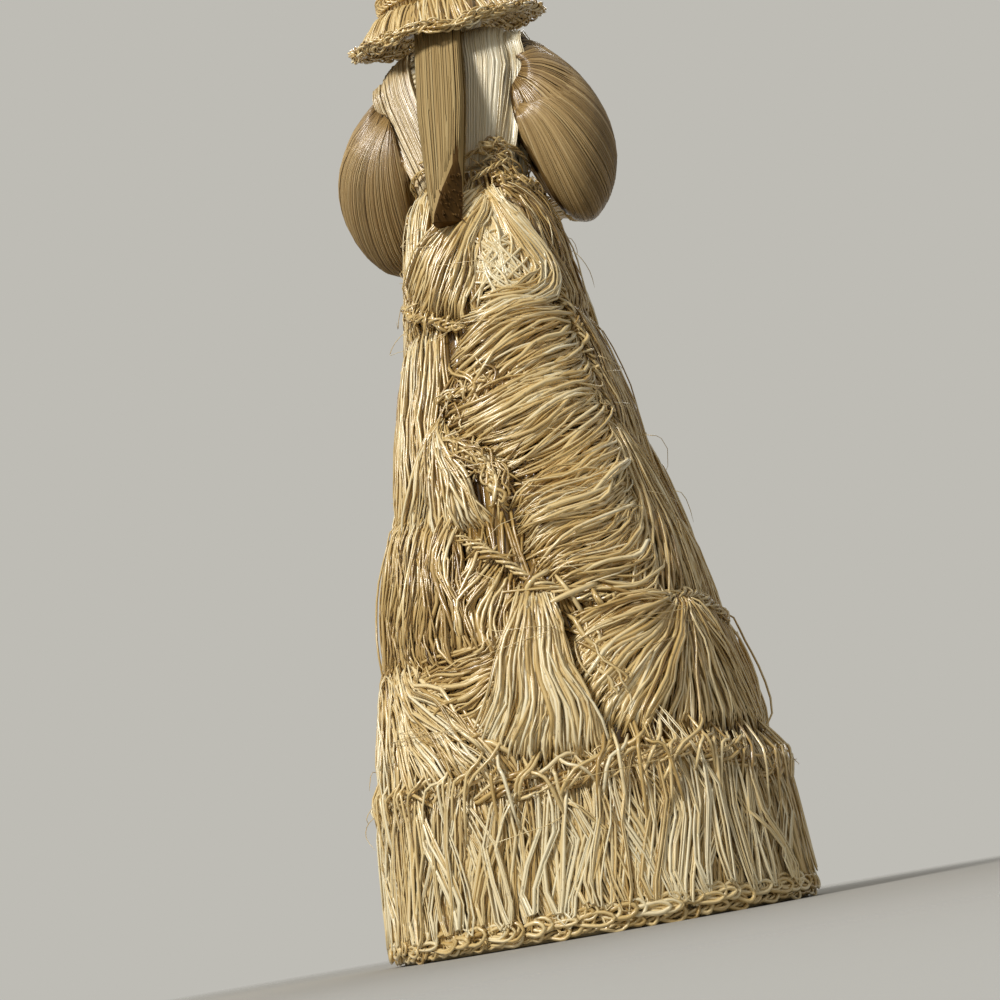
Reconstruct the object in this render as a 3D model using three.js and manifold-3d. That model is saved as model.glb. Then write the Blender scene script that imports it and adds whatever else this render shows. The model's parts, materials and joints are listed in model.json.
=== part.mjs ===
// A fibre doll: a lady in a brimmed hat, with puffed sleeves and a long skirt worked in looped straw fibre.
// Lengths are in millimetres and +Z is up. The doll faces -Y and her own left is +X.
// The origin is on the floor, in the middle of the hem.
import * as THREE from "three";
import { mergeVertices } from "three/addons/utils/BufferGeometryUtils.js";
import Module from "manifold-3d";

const wasm = await Module();
wasm.setup();

// Clearances
const GAP = 0.3; // between pieces that touch
const SWING_GAP = 0.9; // between an arm and what it swings past

// Stiff hollow cone that carries the skirt
const HEM_RADIUS = 52;
const FLARE_HEIGHT = 32; // top of the nearly upright band at the hem
const FLARE_RADIUS = 49.5;
const SKIRT_HEIGHT = 212;
const WAIST_RADIUS = 16.5;
const FORM_WALL = 2.6;
const PLUG_HEIGHT = 16;
const SPINE_RADIUS = 3;
const SPINE_BELOW_PLUG = 14;

// Fibre layers on the cone, from the floor up
const HEM_BRAID_LIFT = 0.6; // the cone stands on the floor and the braid hangs just clear of it
const HEM_BRAID_HEIGHT = 6;
const HEM_BRAID_THICKNESS = 3.8;
const FLOUNCE_THICKNESS = 3.4;
const RIDGE_BOTTOM = 28;
const RIDGE_HEIGHT = 9;
const RIDGE_THICKNESS = 6;
const FAN_TIER_TOP = 99;
const FAN_TIER_THICKNESS = 3; // between the leaves
const SWIRL_TIER_TOP = 168;
const SWIRL_TIER_THICKNESS = 2.7; // between the leaves
const YOKE_THICKNESS = 4;
const YOKE_TOP_THICKNESS = 2.4;

// Raised leaves of strands on the fan and swirl tiers. An end is a bearing, in degrees from the middle of her
// back towards her right, and a share of the height from the ridge to the top of the swirls, with half widths.
const LEAF_RISE = 2.8;
const LEAVES = [
  { from: [22, 0.86], to: [50, 0.93], widths: [15, 13] }, // upper swirl
  { from: [18, 0.76], to: [50, 0.7], widths: [17, 16] }, // middle swirl
  { from: [34, 0.55], to: [60, 0.42], widths: [17, 17] }, // lower swirl
  { from: [-15, 0.68], to: [-24, 0.5], widths: [10, 16] }, // spray to the left of the swirls
  { from: [74, 0.52], to: [84, 0.3], widths: [7, 13] }, // spray to their right
  { from: [-36, 0.45], to: [-36, 0.12], widths: [22, 25] }, // left column and fan
  { from: [-4, 0.36], to: [-18, 0.15], widths: [13, 16] }, // crossing bundle
  { from: [14, 0.3], to: [10, 0.1], widths: [10, 16] }, // middle fan
  { from: [60, 0.34], to: [58, 0.16], widths: [17, 23] }, // right fan
];
const LEAF_PANELS = [
  { first: -60, width: 155, mirrored: false }, // the back, as the leaves are given
  { first: 95, width: 102.5, mirrored: true },
  { first: 197.5, width: 102.5, mirrored: false },
];

// Torso and bodice
const TORSO_HEIGHT = 52;
const TORSO_BASE_HALF_WIDTH = 15.2;
const TORSO_BASE_HALF_DEPTH = 11;
const WAIST_RISE = 8; // above the torso's base
const WAIST_HALF_WIDTH = 14.5;
const WAIST_HALF_DEPTH = 10;
const SHOULDER_RISE = 43;
const SHOULDER_HALF_WIDTH = 22.5;
const SHOULDER_HALF_DEPTH = 11.5;
const SHOULDER_TOP_HALF_WIDTH = 15;
const SHOULDER_TOP_HALF_DEPTH = 5.5;
const STRAP_THICKNESS = 1.7;
const STRAP_RISE = 2; // lower end of a strap above the torso's base
const STRAP_WAIST_INNER = 3;
const STRAP_WAIST_OUTER = 14.6;
const STRAP_SHOULDER_INNER = 10.5;
const STRAP_SHOULDER_OUTER = 22.8;
const CORD_RADIUS = 1.4;
const KNOT_ANGLE = 122; // degrees round from the doll's left, at her back
const KNOT_RADII = [3.6, 2.6, 3];

// Arms
const WIRE_RADIUS = 1;
const WIRE_BELOW_TORSO_TOP = 14.5;
const WIRE_IN_SLEEVE = 7;
const PUFF_HEIGHT = 66;
const PUFF_ABOVE_WIRE = 15;
const PUFF_RADIUS = 16;
const PUFF_LOW_X = 30.5;
const PUFF_TOP_X = 20.5;
const PUFF_LOW_Y = -12;
const PUFF_TOP_Y = -4;
const CUFF_X = 22;
const CUFF_Y = -29.5;
const CUFF_RISE = 17.5; // above the puff's lowest point
const CUFF_RADIUS = 4.4;
const CUFF_LENGTH = 3;
const SLEEVE_END_LENGTH = 19;
const SLEEVE_END_RADIUS = 9.5;
const HAND_HEADING = [-16.5, -13, 9]; // the way the left forearm points
const FOREARM_LENGTH = 14;
const WRIST_RADIUS = 3.2;
const TIE_THICKNESS = 1.3;
const TIE_WIDTH = 2.2;
const HAND_LENGTH = 10;
const HAND_HALF_WIDTH = 3.9;
const HAND_HALF_THICKNESS = 2.8;

// Head and hair
const NECK_RADIUS = 6.2;
const NECK_LENGTH = 4.2;
const HEAD_RADIUS = 13.5;
const HEAD_HALF_HEIGHT = 15;
const HEAD_Y = -1.5;
const SPINE_IN_HEAD = 9;
const HAIR_THICKNESS = 1.7;
const HAIR_FRONT = 4.5; // the hair's front edge, ahead of the head's middle
const HAIR_BELOW = 13.2; // the hair's lower edge, below the head's middle

// Tail of hair that hangs down the back
const TAIL_TOP_X = -2.8;
const TAIL_TOP_BACK = 12.9;
const TAIL_TOP_BELOW_HEAD = 15.5;
const TAIL_LENGTH = 75;
const TAIL_END_X = -1.3;
const TAIL_SPREAD_BACK = 15.3; // how far the tail's end stands out behind its top
const TAIL_HALF_WIDTH = 7.5;
const TAIL_TAPER_LENGTH = 40; // lower part that narrows to the end
const TAIL_END_HALF_WIDTH = 4.2;
const TAIL_TOP_HALF_THICKNESS = 2;
const TAIL_END_HALF_THICKNESS = 3;
const TAIL_CUT_LENGTH = 24; // height of the slanting cut above the tail's end
const NAPE_KNOT_RADII = [5, 3.2, 3];

// Hat
const HAT_TILT = 22; // degrees back
const HAT_SIDE_TILT = 6; // degrees towards her right
const HAT_THICKNESS = 1.6;
const HAT_CLEARANCE = 0.5; // between the hair and the inside of the crown
const CROWN_BELOW = 2; // lower edge of the crown, below the head's middle
const BRIM_FLAT = 2.4; // width of the brim's flat inner part
const BRIM_RADIUS = 28;
const BRIM_DROOP = 3;
const BRIM_BACK_DROOP = 7; // further droop at the back
const EDGE_BRAID_RADIUS = 1.7;
const HAT_BAND_HEIGHT = 4.6;
const HAT_BAND_THICKNESS = 1.2;

// Facets
const SKIRT_SIDES = 40;
const LEAF_SIDES = 2 * SKIRT_SIDES;
const LEAF_STEPS = 11; // up one tier
const BODY_SIDES = 24;
const SMALL_SIDES = 12;
const TUBE_SIDES = 6;

// Places worked out from the sizes
const RIDGE_TOP = RIDGE_BOTTOM + RIDGE_HEIGHT;
const TORSO_BASE = SKIRT_HEIGHT + GAP;
const TORSO_TOP = TORSO_BASE + TORSO_HEIGHT;
const STRAP_OUTSIDE = GAP + STRAP_THICKNESS;
const WIRE_Y = -(SPINE_RADIUS + WIRE_RADIUS + 2 * GAP);
const WIRE_Z = TORSO_TOP - WIRE_BELOW_TORSO_TOP;
const PUFF_BOTTOM = WIRE_Z + PUFF_ABOVE_WIRE - PUFF_HEIGHT;
const ARMHOLE_X = SHOULDER_HALF_WIDTH + STRAP_OUTSIDE + SWING_GAP;
const HEAD_Z = TORSO_TOP + NECK_LENGTH + HEAD_HALF_HEIGHT - GAP;
const TAIL_PIVOT = new THREE.Vector3(TAIL_TOP_X, TAIL_TOP_BACK, HEAD_Z - TAIL_TOP_BELOW_HEAD);
const CROWN_INSIDE = HEAD_HALF_HEIGHT + GAP + HAIR_THICKNESS + HAT_CLEARANCE;

const degrees = THREE.MathUtils.degToRad;
const lerp = THREE.MathUtils.lerp;

// Finishes
function finish(colour, roughness) {
  return new THREE.MeshStandardMaterial({ color: colour, roughness, metalness: 0 });
}
const FIBRE = finish(0xd9c391, 0.45);
const PALE_FIBRE = finish(0xe6d7ae, 0.4);
const GOLD_FIBRE = finish(0xb8995f, 0.4);
const STRAW_BARK = finish(0xb39c6c, 0.55);
const CORE_CLOTH = finish(0xdcd6c4, 0.8);
const CARD = finish(0xc9b68a, 0.85);
const WOOD = finish(0xb9925a, 0.7);
const WIRE = finish(0x8a8d90, 0.4);

// A closed geometry as a solid whose faces point out.
function solidOf(geometry) {
  const bare = new THREE.BufferGeometry();
  bare.setAttribute("position", geometry.getAttribute("position").clone());
  bare.setIndex(geometry.index);
  const merged = mergeVertices(bare, 1e-4);
  const corners = merged.index.array;
  const kept = [];
  for (let i = 0; i < corners.length; i += 3) {
    const [a, b, c] = [corners[i], corners[i + 1], corners[i + 2]];
    if (a !== b && b !== c && c !== a) kept.push(a, b, c);
  }
  const made = (triVerts) =>
    new wasm.Manifold(
      new wasm.Mesh({ numProp: 3, vertProperties: merged.getAttribute("position").array, triVerts }),
    );
  const solid = made(new Uint32Array(kept));
  return solid.volume() > 0 ? solid : made(new Uint32Array(kept).reverse());
}

function geometryOf(solid) {
  const mesh = solid.getMesh();
  const geometry = new THREE.BufferGeometry();
  geometry.setAttribute("position", new THREE.BufferAttribute(mesh.vertProperties, 3));
  geometry.setIndex(new THREE.BufferAttribute(mesh.triVerts, 1));
  return geometry;
}

function piece(name, solid, material, parent) {
  const mesh = new THREE.Mesh(geometryOf(solid), material);
  mesh.name = name;
  parent.add(mesh);
  return mesh;
}

// A profile of [radius, height] points turned round the Z axis.
function turned(profile, sides) {
  const points = profile.map(([radius, height]) => new THREE.Vector2(radius, height));
  const geometry = new THREE.LatheGeometry(points, sides);
  geometry.rotateX(Math.PI / 2);
  return solidOf(geometry);
}

// A ring between an inner and an outer profile, both from the bottom up.
function shell(inner, outer, sides) {
  return turned([...outer, ...inner.slice().reverse(), outer[0]], sides);
}

// A skin over rings of points. A loop joins the last ring to the first, and otherwise each end gets a cap.
function skinned(rings, loop = false) {
  const count = rings[0].length;
  const points = rings.flat();
  const index = [];
  const spans = loop ? rings.length : rings.length - 1;
  for (let i = 0; i < spans; i++) {
    const here = i * count;
    const next = ((i + 1) % rings.length) * count;
    for (let j = 0; j < count; j++) {
      const k = (j + 1) % count;
      index.push(here + j, next + k, next + j, here + j, here + k, next + k);
    }
  }
  if (!loop) {
    for (const [start, flip] of [[0, false], [(rings.length - 1) * count, true]]) {
      const middle = new THREE.Vector3();
      for (let j = 0; j < count; j++) middle.addScaledVector(points[start + j], 1 / count);
      points.push(middle);
      for (let j = 0; j < count; j++) {
        const edge = [start + j, start + ((j + 1) % count)];
        index.push(points.length - 1, ...(flip ? edge : edge.reverse()));
      }
    }
  }
  const geometry = new THREE.BufferGeometry().setFromPoints(points);
  geometry.setIndex(index);
  return solidOf(geometry);
}

// A round-cornered oval in a level plane.
function oval(halfWidth, halfDepth, z, sides, squareness = 2.5) {
  const ring = [];
  for (let i = 0; i < sides; i++) {
    const angle = (2 * Math.PI * i) / sides;
    const [c, s] = [Math.cos(angle), Math.sin(angle)];
    ring.push(
      new THREE.Vector3(
        halfWidth * Math.sign(c) * Math.abs(c) ** (2 / squareness),
        halfDepth * Math.sign(s) * Math.abs(s) ** (2 / squareness),
        z,
      ),
    );
  }
  return ring;
}

// A tube round a closed run of points.
function hoop(points, radius, sides) {
  const rings = points.map((point, i) => {
    const before = points[(i + points.length - 1) % points.length];
    const after = points[(i + 1) % points.length];
    const along = after.clone().sub(before).normalize();
    const side = new THREE.Vector3().crossVectors(along, new THREE.Vector3(0, 0, 1)).normalize();
    const up = new THREE.Vector3().crossVectors(side, along);
    const ring = [];
    for (let j = 0; j < sides; j++) {
      const angle = (2 * Math.PI * j) / sides;
      ring.push(
        point
          .clone()
          .addScaledVector(side, radius * Math.cos(angle))
          .addScaledVector(up, radius * Math.sin(angle)),
      );
    }
    return ring;
  });
  return skinned(rings, true);
}

function ball([rx, ry, rz], [x, y, z], sides) {
  const geometry = new THREE.SphereGeometry(1, sides, Math.round(sides / 2));
  geometry.rotateX(Math.PI / 2);
  geometry.scale(rx, ry, rz);
  geometry.translate(x, y, z);
  return solidOf(geometry);
}

// A round bar along X, Y or Z from one place to another.
function bar(axis, radius, from, to, [u, v]) {
  const geometry = new THREE.CylinderGeometry(radius, radius, to - from, SMALL_SIDES);
  const middle = (from + to) / 2;
  if (axis === "x") geometry.rotateZ(Math.PI / 2).translate(middle, u, v);
  if (axis === "z") geometry.rotateX(Math.PI / 2).translate(u, v, middle);
  return solidOf(geometry);
}

function block([sx, sy, sz], [x, y, z]) {
  return solidOf(new THREE.BoxGeometry(sx, sy, sz).translate(x, y, z));
}

// Outside of the bare cone at a height.
function formRadius(z) {
  if (z < FLARE_HEIGHT) return lerp(HEM_RADIUS, FLARE_RADIUS, z / FLARE_HEIGHT);
  return lerp(FLARE_RADIUS, WAIST_RADIUS, (z - FLARE_HEIGHT) / (SKIRT_HEIGHT - FLARE_HEIGHT));
}

// One fibre layer on the cone. thickness gives its depth at each share of its height.
function layer(bottom, top, thickness, steps) {
  const inner = [];
  const outer = [];
  const shares = Array.from({ length: steps + 1 }, (_, i) => i / steps);
  const heights = shares.map((share) => lerp(bottom, top, share));
  if (bottom < FLARE_HEIGHT && top > FLARE_HEIGHT) {
    heights.push(FLARE_HEIGHT);
    heights.sort((a, b) => a - b);
  }
  for (const z of heights) {
    const base = formRadius(z) + GAP;
    inner.push([base, z]);
    outer.push([base + thickness((z - bottom) / (top - bottom)), z]);
  }
  return shell(inner, outer, SKIRT_SIDES);
}

// The bearing in the back's own panel that a bearing anywhere round the skirt repeats.
function bearingInPattern(bearing) {
  const [pattern] = LEAF_PANELS;
  const turned = THREE.MathUtils.euclideanModulo(bearing - pattern.first, 360) + pattern.first;
  const panel = LEAF_PANELS.findLast(({ first }) => turned >= first);
  const share = (turned - panel.first) / panel.width;
  return pattern.first + (panel.mirrored ? 1 - share : share) * pattern.width;
}

// How far the highest leaf at a place on the skirt stands above what is between the leaves.
function leafRise(bearing, z) {
  const here = bearingInPattern(bearing);
  const unrolled = ([b, share]) =>
    new THREE.Vector3(degrees(b - here) * formRadius(z), lerp(RIDGE_TOP, SWIRL_TIER_TOP, share) - z, 0);
  const rises = LEAVES.map(({ from, to, widths }) => {
    const spine = new THREE.Line3(unrolled(from), unrolled(to));
    const share = spine.closestPointToPointParameter(new THREE.Vector3(), true);
    const off = spine.at(share, new THREE.Vector3()).length() / lerp(...widths, share);
    return LEAF_RISE * Math.max(0, 1 - off * off);
  });
  return Math.max(...rises);
}

// One fibre layer on the cone with leaves raised on it.
function leafyLayer(bottom, top, thickness) {
  const rings = Array.from({ length: LEAF_SIDES }, (_, i) => {
    const bearing = (360 * i) / LEAF_SIDES;
    const [c, s] = [Math.cos(degrees(bearing)), Math.sin(degrees(bearing))];
    const at = (radius, z) => new THREE.Vector3(-radius * s, radius * c, z);
    const outer = Array.from({ length: LEAF_STEPS + 1 }, (_, j) => {
      const z = lerp(bottom, top, j / LEAF_STEPS);
      return at(formRadius(z) + GAP + thickness + leafRise(bearing, z), z);
    });
    const inner = [top, bottom].map((z) => at(formRadius(z) + GAP, z));
    return [...outer, ...inner];
  });
  return skinned(rings, true);
}

// Round-shouldered depth, full in the middle and drawn in at both edges.
function cushioned(depth, edge) {
  return (share) => lerp(edge, depth, Math.sqrt(Math.max(0, 1 - (2 * share - 1) ** 2)));
}

function yokeDepth(share) {
  return lerp(YOKE_THICKNESS, YOKE_TOP_THICKNESS, share * share);
}

// Skirt: the hollow cone, the plug and stick inside it, and the worked layers outside.
function addSkirt(doll) {
  const inside = (z) => formRadius(z) - FORM_WALL;
  const stations = [0, FLARE_HEIGHT, SKIRT_HEIGHT];
  const form = shell(
    stations.map((z) => [inside(z), z]),
    stations.map((z) => [formRadius(z), z]),
    SKIRT_SIDES,
  );
  piece("skirt_form", form, CARD, doll);

  const plugBottom = SKIRT_HEIGHT - PLUG_HEIGHT;
  const plug = shell(
    [plugBottom, SKIRT_HEIGHT].map((z) => [SPINE_RADIUS + GAP, z]),
    [plugBottom, SKIRT_HEIGHT].map((z) => [inside(z) - GAP, z]),
    BODY_SIDES,
  );
  piece("waist_plug", plug, WOOD, doll);

  const spineTop = HEAD_Z - HEAD_HALF_HEIGHT + SPINE_IN_HEAD - GAP;
  const spine = bar("z", SPINE_RADIUS, plugBottom - SPINE_BELOW_PLUG, spineTop, [0, 0]);
  piece("spine_stick", spine, WOOD, doll);

  const braidTop = HEM_BRAID_LIFT + HEM_BRAID_HEIGHT;
  const braid = layer(HEM_BRAID_LIFT, braidTop, cushioned(HEM_BRAID_THICKNESS, HEM_BRAID_THICKNESS / 2), 2);
  piece("hem_braid", braid, FIBRE, doll);
  const flounce = layer(braidTop + GAP, RIDGE_BOTTOM - GAP, () => FLOUNCE_THICKNESS, 1);
  piece("hem_flounce", flounce, PALE_FIBRE, doll);
  const ridge = layer(RIDGE_BOTTOM, RIDGE_TOP, cushioned(RIDGE_THICKNESS, RIDGE_THICKNESS / 2), 4);
  piece("hem_ridge", ridge, FIBRE, doll);
  const fans = leafyLayer(RIDGE_TOP + GAP, FAN_TIER_TOP, FAN_TIER_THICKNESS);
  piece("fan_tier", fans, FIBRE, doll);
  const swirls = leafyLayer(FAN_TIER_TOP + GAP, SWIRL_TIER_TOP, SWIRL_TIER_THICKNESS);
  piece("swirl_tier", swirls, FIBRE, doll);
  piece("skirt_yoke", layer(SWIRL_TIER_TOP + GAP, SKIRT_HEIGHT, yokeDepth, 2), FIBRE, doll);
}

// Half width and half depth of the bare torso at a rise above its base.
function torsoHalves(rise) {
  if (rise <= WAIST_RISE) {
    const share = (1 - Math.cos((Math.PI * rise) / WAIST_RISE)) / 2;
    return [
      lerp(TORSO_BASE_HALF_WIDTH, WAIST_HALF_WIDTH, share),
      lerp(TORSO_BASE_HALF_DEPTH, WAIST_HALF_DEPTH, share),
    ];
  }
  if (rise <= SHOULDER_RISE) {
    const share = (rise - WAIST_RISE) / (SHOULDER_RISE - WAIST_RISE);
    return [
      lerp(WAIST_HALF_WIDTH, SHOULDER_HALF_WIDTH, share),
      lerp(WAIST_HALF_DEPTH, SHOULDER_HALF_DEPTH, share),
    ];
  }
  const share = (rise - SHOULDER_RISE) / (TORSO_HEIGHT - SHOULDER_RISE);
  const round = Math.sqrt(Math.max(0, 1 - share * share));
  return [
    lerp(SHOULDER_TOP_HALF_WIDTH, SHOULDER_HALF_WIDTH, round),
    lerp(SHOULDER_TOP_HALF_DEPTH, SHOULDER_HALF_DEPTH, round),
  ];
}

// The torso grown by an offset, reaching further down where it is used as a cutter.
function torsoSolid(offset, below = 0) {
  const belowShoulder = [0, 0.5, 1].map((share) => share * WAIST_RISE);
  const toShoulder = [0.25, 0.5, 0.75, 1].map((share) => lerp(WAIST_RISE, SHOULDER_RISE, share));
  const overShoulder = [0.35, 0.65, 0.88, 1].map((share) => lerp(SHOULDER_RISE, TORSO_HEIGHT, share));
  const rings = [...belowShoulder, ...toShoulder, ...overShoulder].map((rise) => {
    const [width, depth] = torsoHalves(rise);
    const lift = rise > SHOULDER_RISE ? (offset * (rise - SHOULDER_RISE)) / (TORSO_HEIGHT - SHOULDER_RISE) : 0;
    return oval(width + offset, depth + offset, TORSO_BASE + rise + lift, BODY_SIDES);
  });
  if (below > 0) {
    const [width, depth] = torsoHalves(0);
    rings.unshift(oval(width + offset, depth + offset, TORSO_BASE - below, BODY_SIDES));
  }
  return skinned(rings);
}

// A strap's outline seen from the front, as a prism through the whole torso.
function strapPrism(side) {
  const outline = new THREE.Shape();
  const low = TORSO_BASE + STRAP_RISE;
  const high = TORSO_TOP + STRAP_OUTSIDE + GAP;
  outline.moveTo(side * STRAP_WAIST_INNER, low);
  outline.lineTo(side * STRAP_WAIST_OUTER, low);
  outline.lineTo(side * STRAP_SHOULDER_OUTER, high);
  outline.lineTo(side * STRAP_SHOULDER_INNER, high);
  outline.closePath();
  const depth = 2 * (SHOULDER_HALF_DEPTH + WAIST_HALF_DEPTH);
  const geometry = new THREE.ExtrudeGeometry(outline, { depth, bevelEnabled: false });
  geometry.rotateX(Math.PI / 2).translate(0, depth / 2, 0);
  return solidOf(geometry);
}

function waistCord(grown = 0) {
  const reach = STRAP_OUTSIDE + GAP + CORD_RADIUS;
  const [width, depth] = torsoHalves(WAIST_RISE);
  const path = oval(width + reach, depth + reach, TORSO_BASE + WAIST_RISE, BODY_SIDES);
  return hoop(path, CORD_RADIUS + grown, TUBE_SIDES);
}

// Torso: the pale stuffed core, the bodice straps over it, the waist cord and its knot, and the arm wire.
function addTorso(doll) {
  const wireEnd = ARMHOLE_X + WIRE_IN_SLEEVE;
  const core = torsoSolid(0)
    .subtract(bar("z", SPINE_RADIUS + GAP, TORSO_BASE - 1, TORSO_TOP + 1, [0, 0]))
    .subtract(bar("x", WIRE_RADIUS + GAP, -wireEnd, wireEnd, [WIRE_Y, WIRE_Z]));
  piece("torso_core", core, CORE_CLOTH, doll);
  const wire = bar("x", WIRE_RADIUS, -wireEnd, wireEnd, [WIRE_Y, WIRE_Z]);
  piece("arm_wire", wire, WIRE, doll);

  const wrap = torsoSolid(STRAP_OUTSIDE).subtract(torsoSolid(GAP, GAP));
  const wireHole = bar("x", WIRE_RADIUS + GAP, -wireEnd, wireEnd, [WIRE_Y, WIRE_Z]);
  for (const [name, side] of [["left", 1], ["right", -1]]) {
    const strap = wrap.intersect(strapPrism(side)).subtract(wireHole);
    piece(name + "_bodice_strap", strap, PALE_FIBRE, doll);
  }

  piece("waist_cord", waistCord(), FIBRE, doll);
  const angle = degrees(KNOT_ANGLE);
  const reach = STRAP_OUTSIDE + GAP + 2 * CORD_RADIUS;
  const [width, depth] = torsoHalves(WAIST_RISE);
  const place = [
    (width + reach) * Math.cos(angle),
    (depth + reach) * Math.sin(angle),
    TORSO_BASE + WAIST_RISE,
  ];
  const knot = ball(KNOT_RADII, place, SMALL_SIDES)
    .subtract(waistCord(GAP))
    .subtract(torsoSolid(STRAP_OUTSIDE + GAP, WAIST_RISE));
  const largest = knot.decompose().sort((a, b) => b.volume() - a.volume())[0];
  piece("waist_knot", largest, FIBRE, doll);
}

// All that a sleeve has to miss as it swings on the wire: a shape turned round the wire.
function sleeveClearance(side) {
  const skirtOutside = (z) => formRadius(z) + GAP + YOKE_THICKNESS;
  const waistReach = WAIST_HALF_WIDTH + STRAP_OUTSIDE + GAP + 2 * CORD_RADIUS;
  const waistDrop = WIRE_Z - TORSO_BASE - WAIST_RISE;
  const skirtDrop = WIRE_Z - SKIRT_HEIGHT;
  const lowest = WIRE_Z - PUFF_BOTTOM + PUFF_RADIUS;
  const profile = [
    [0, -SWING_GAP],
    [lowest, -SWING_GAP],
    [lowest, skirtOutside(WIRE_Z - lowest) + SWING_GAP],
    [skirtDrop, skirtOutside(SKIRT_HEIGHT) + SWING_GAP],
    [waistDrop, waistReach + SWING_GAP],
    [TORSO_TOP - WIRE_Z + STRAP_OUTSIDE, ARMHOLE_X],
    [0, ARMHOLE_X],
  ];
  const points = profile.map(([radius, reach]) => new THREE.Vector2(radius, reach));
  const geometry = new THREE.LatheGeometry(points, SKIRT_SIDES);
  geometry.rotateZ((-side * Math.PI) / 2).translate(0, WIRE_Y, WIRE_Z);
  return solidOf(geometry);
}

// The puffed part of a sleeve, an egg that leans in to the shoulder at its top.
function sleevePuff(side) {
  const slices = 10;
  const rings = [];
  for (let i = 1; i < slices; i++) {
    const share = (1 - Math.cos((Math.PI * i) / slices)) / 2;
    const radius = PUFF_RADIUS * Math.sin(Math.PI * share) ** 0.6;
    const x = side * lerp(PUFF_LOW_X, PUFF_TOP_X, share ** 2.2);
    const y = lerp(PUFF_LOW_Y, PUFF_TOP_Y, share);
    const ring = oval(radius, radius, PUFF_BOTTOM + share * PUFF_HEIGHT, SMALL_SIDES + TUBE_SIDES, 2);
    rings.push(ring.map((point) => point.add(new THREE.Vector3(x, y, 0))));
  }
  return skinned(rings);
}

// An arm: the puffed sleeve, and along the forearm its cuff tie, forearm, wrist tie and hand.
function addArm(doll, name, side) {
  const heading = new THREE.Vector3(side * HAND_HEADING[0], HAND_HEADING[1], HAND_HEADING[2]).normalize();
  const cuff = new THREE.Vector3(side * CUFF_X, CUFF_Y, PUFF_BOTTOM + CUFF_RISE);
  const turn = new THREE.Quaternion().setFromUnitVectors(new THREE.Vector3(0, 0, 1), heading);

  const endGeometry = geometryOf(
    turned(
      [
        [0, -SLEEVE_END_LENGTH],
        [SLEEVE_END_RADIUS, -SLEEVE_END_LENGTH],
        [CUFF_RADIUS, -CUFF_LENGTH],
        [CUFF_RADIUS, 0],
        [0, 0],
      ],
      SMALL_SIDES,
    ),
  );
  endGeometry.applyQuaternion(turn).translate(cuff.x, cuff.y, cuff.z);
  const wireEnd = side * (ARMHOLE_X + WIRE_IN_SLEEVE + GAP);
  const socket = bar("x", WIRE_RADIUS + GAP, Math.min(0, wireEnd), Math.max(0, wireEnd), [WIRE_Y, WIRE_Z]);
  const sleeve = sleevePuff(side)
    .add(solidOf(endGeometry))
    .subtract(sleeveClearance(side))
    .subtract(socket);
  piece(name + "_sleeve_puff", sleeve, GOLD_FIBRE, doll);

  const along = new THREE.Group();
  along.position.copy(cuff);
  along.quaternion.copy(turn);
  doll.add(along);
  const tie = (radius, middle) => {
    const low = middle - TIE_WIDTH / 2;
    const high = middle + TIE_WIDTH / 2;
    return shell(
      [[radius + GAP, low], [radius + GAP, high]],
      [
        [radius + GAP + TIE_THICKNESS / 2, low],
        [radius + GAP + TIE_THICKNESS, middle],
        [radius + GAP + TIE_THICKNESS / 2, high],
      ],
      SMALL_SIDES,
    );
  };
  piece(name + "_cuff_tie", tie(CUFF_RADIUS, -CUFF_LENGTH / 2), FIBRE, along);
  const wrist = FOREARM_LENGTH - TIE_WIDTH;
  const forearm = turned(
    [
      [0, GAP],
      [CUFF_RADIUS - GAP, GAP],
      [WRIST_RADIUS, wrist],
      [WRIST_RADIUS, FOREARM_LENGTH],
      [0, FOREARM_LENGTH],
    ],
    SMALL_SIDES,
  );
  piece(name + "_forearm", forearm, STRAW_BARK, along);
  piece(name + "_wrist_tie", tie(WRIST_RADIUS, FOREARM_LENGTH - TIE_WIDTH / 2), FIBRE, along);
  const handStart = FOREARM_LENGTH + GAP;
  const palm = [[0.62, 0], [0.9, 0.3], [1, 0.6], [0.8, 0.85], [0.45, 1]];
  const hand = skinned(
    palm.map(([swell, share]) => {
      const z = handStart + share * HAND_LENGTH;
      return oval(HAND_HALF_WIDTH * swell, HAND_HALF_THICKNESS * swell, z, SMALL_SIDES, 2.2);
    }),
  );
  piece(name + "_hand", hand, STRAW_BARK, along);
}

function headSolid(offset) {
  const radius = HEAD_RADIUS + offset;
  return ball([radius, radius, HEAD_HALF_HEIGHT + offset], [0, HEAD_Y, HEAD_Z], BODY_SIDES);
}

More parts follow.
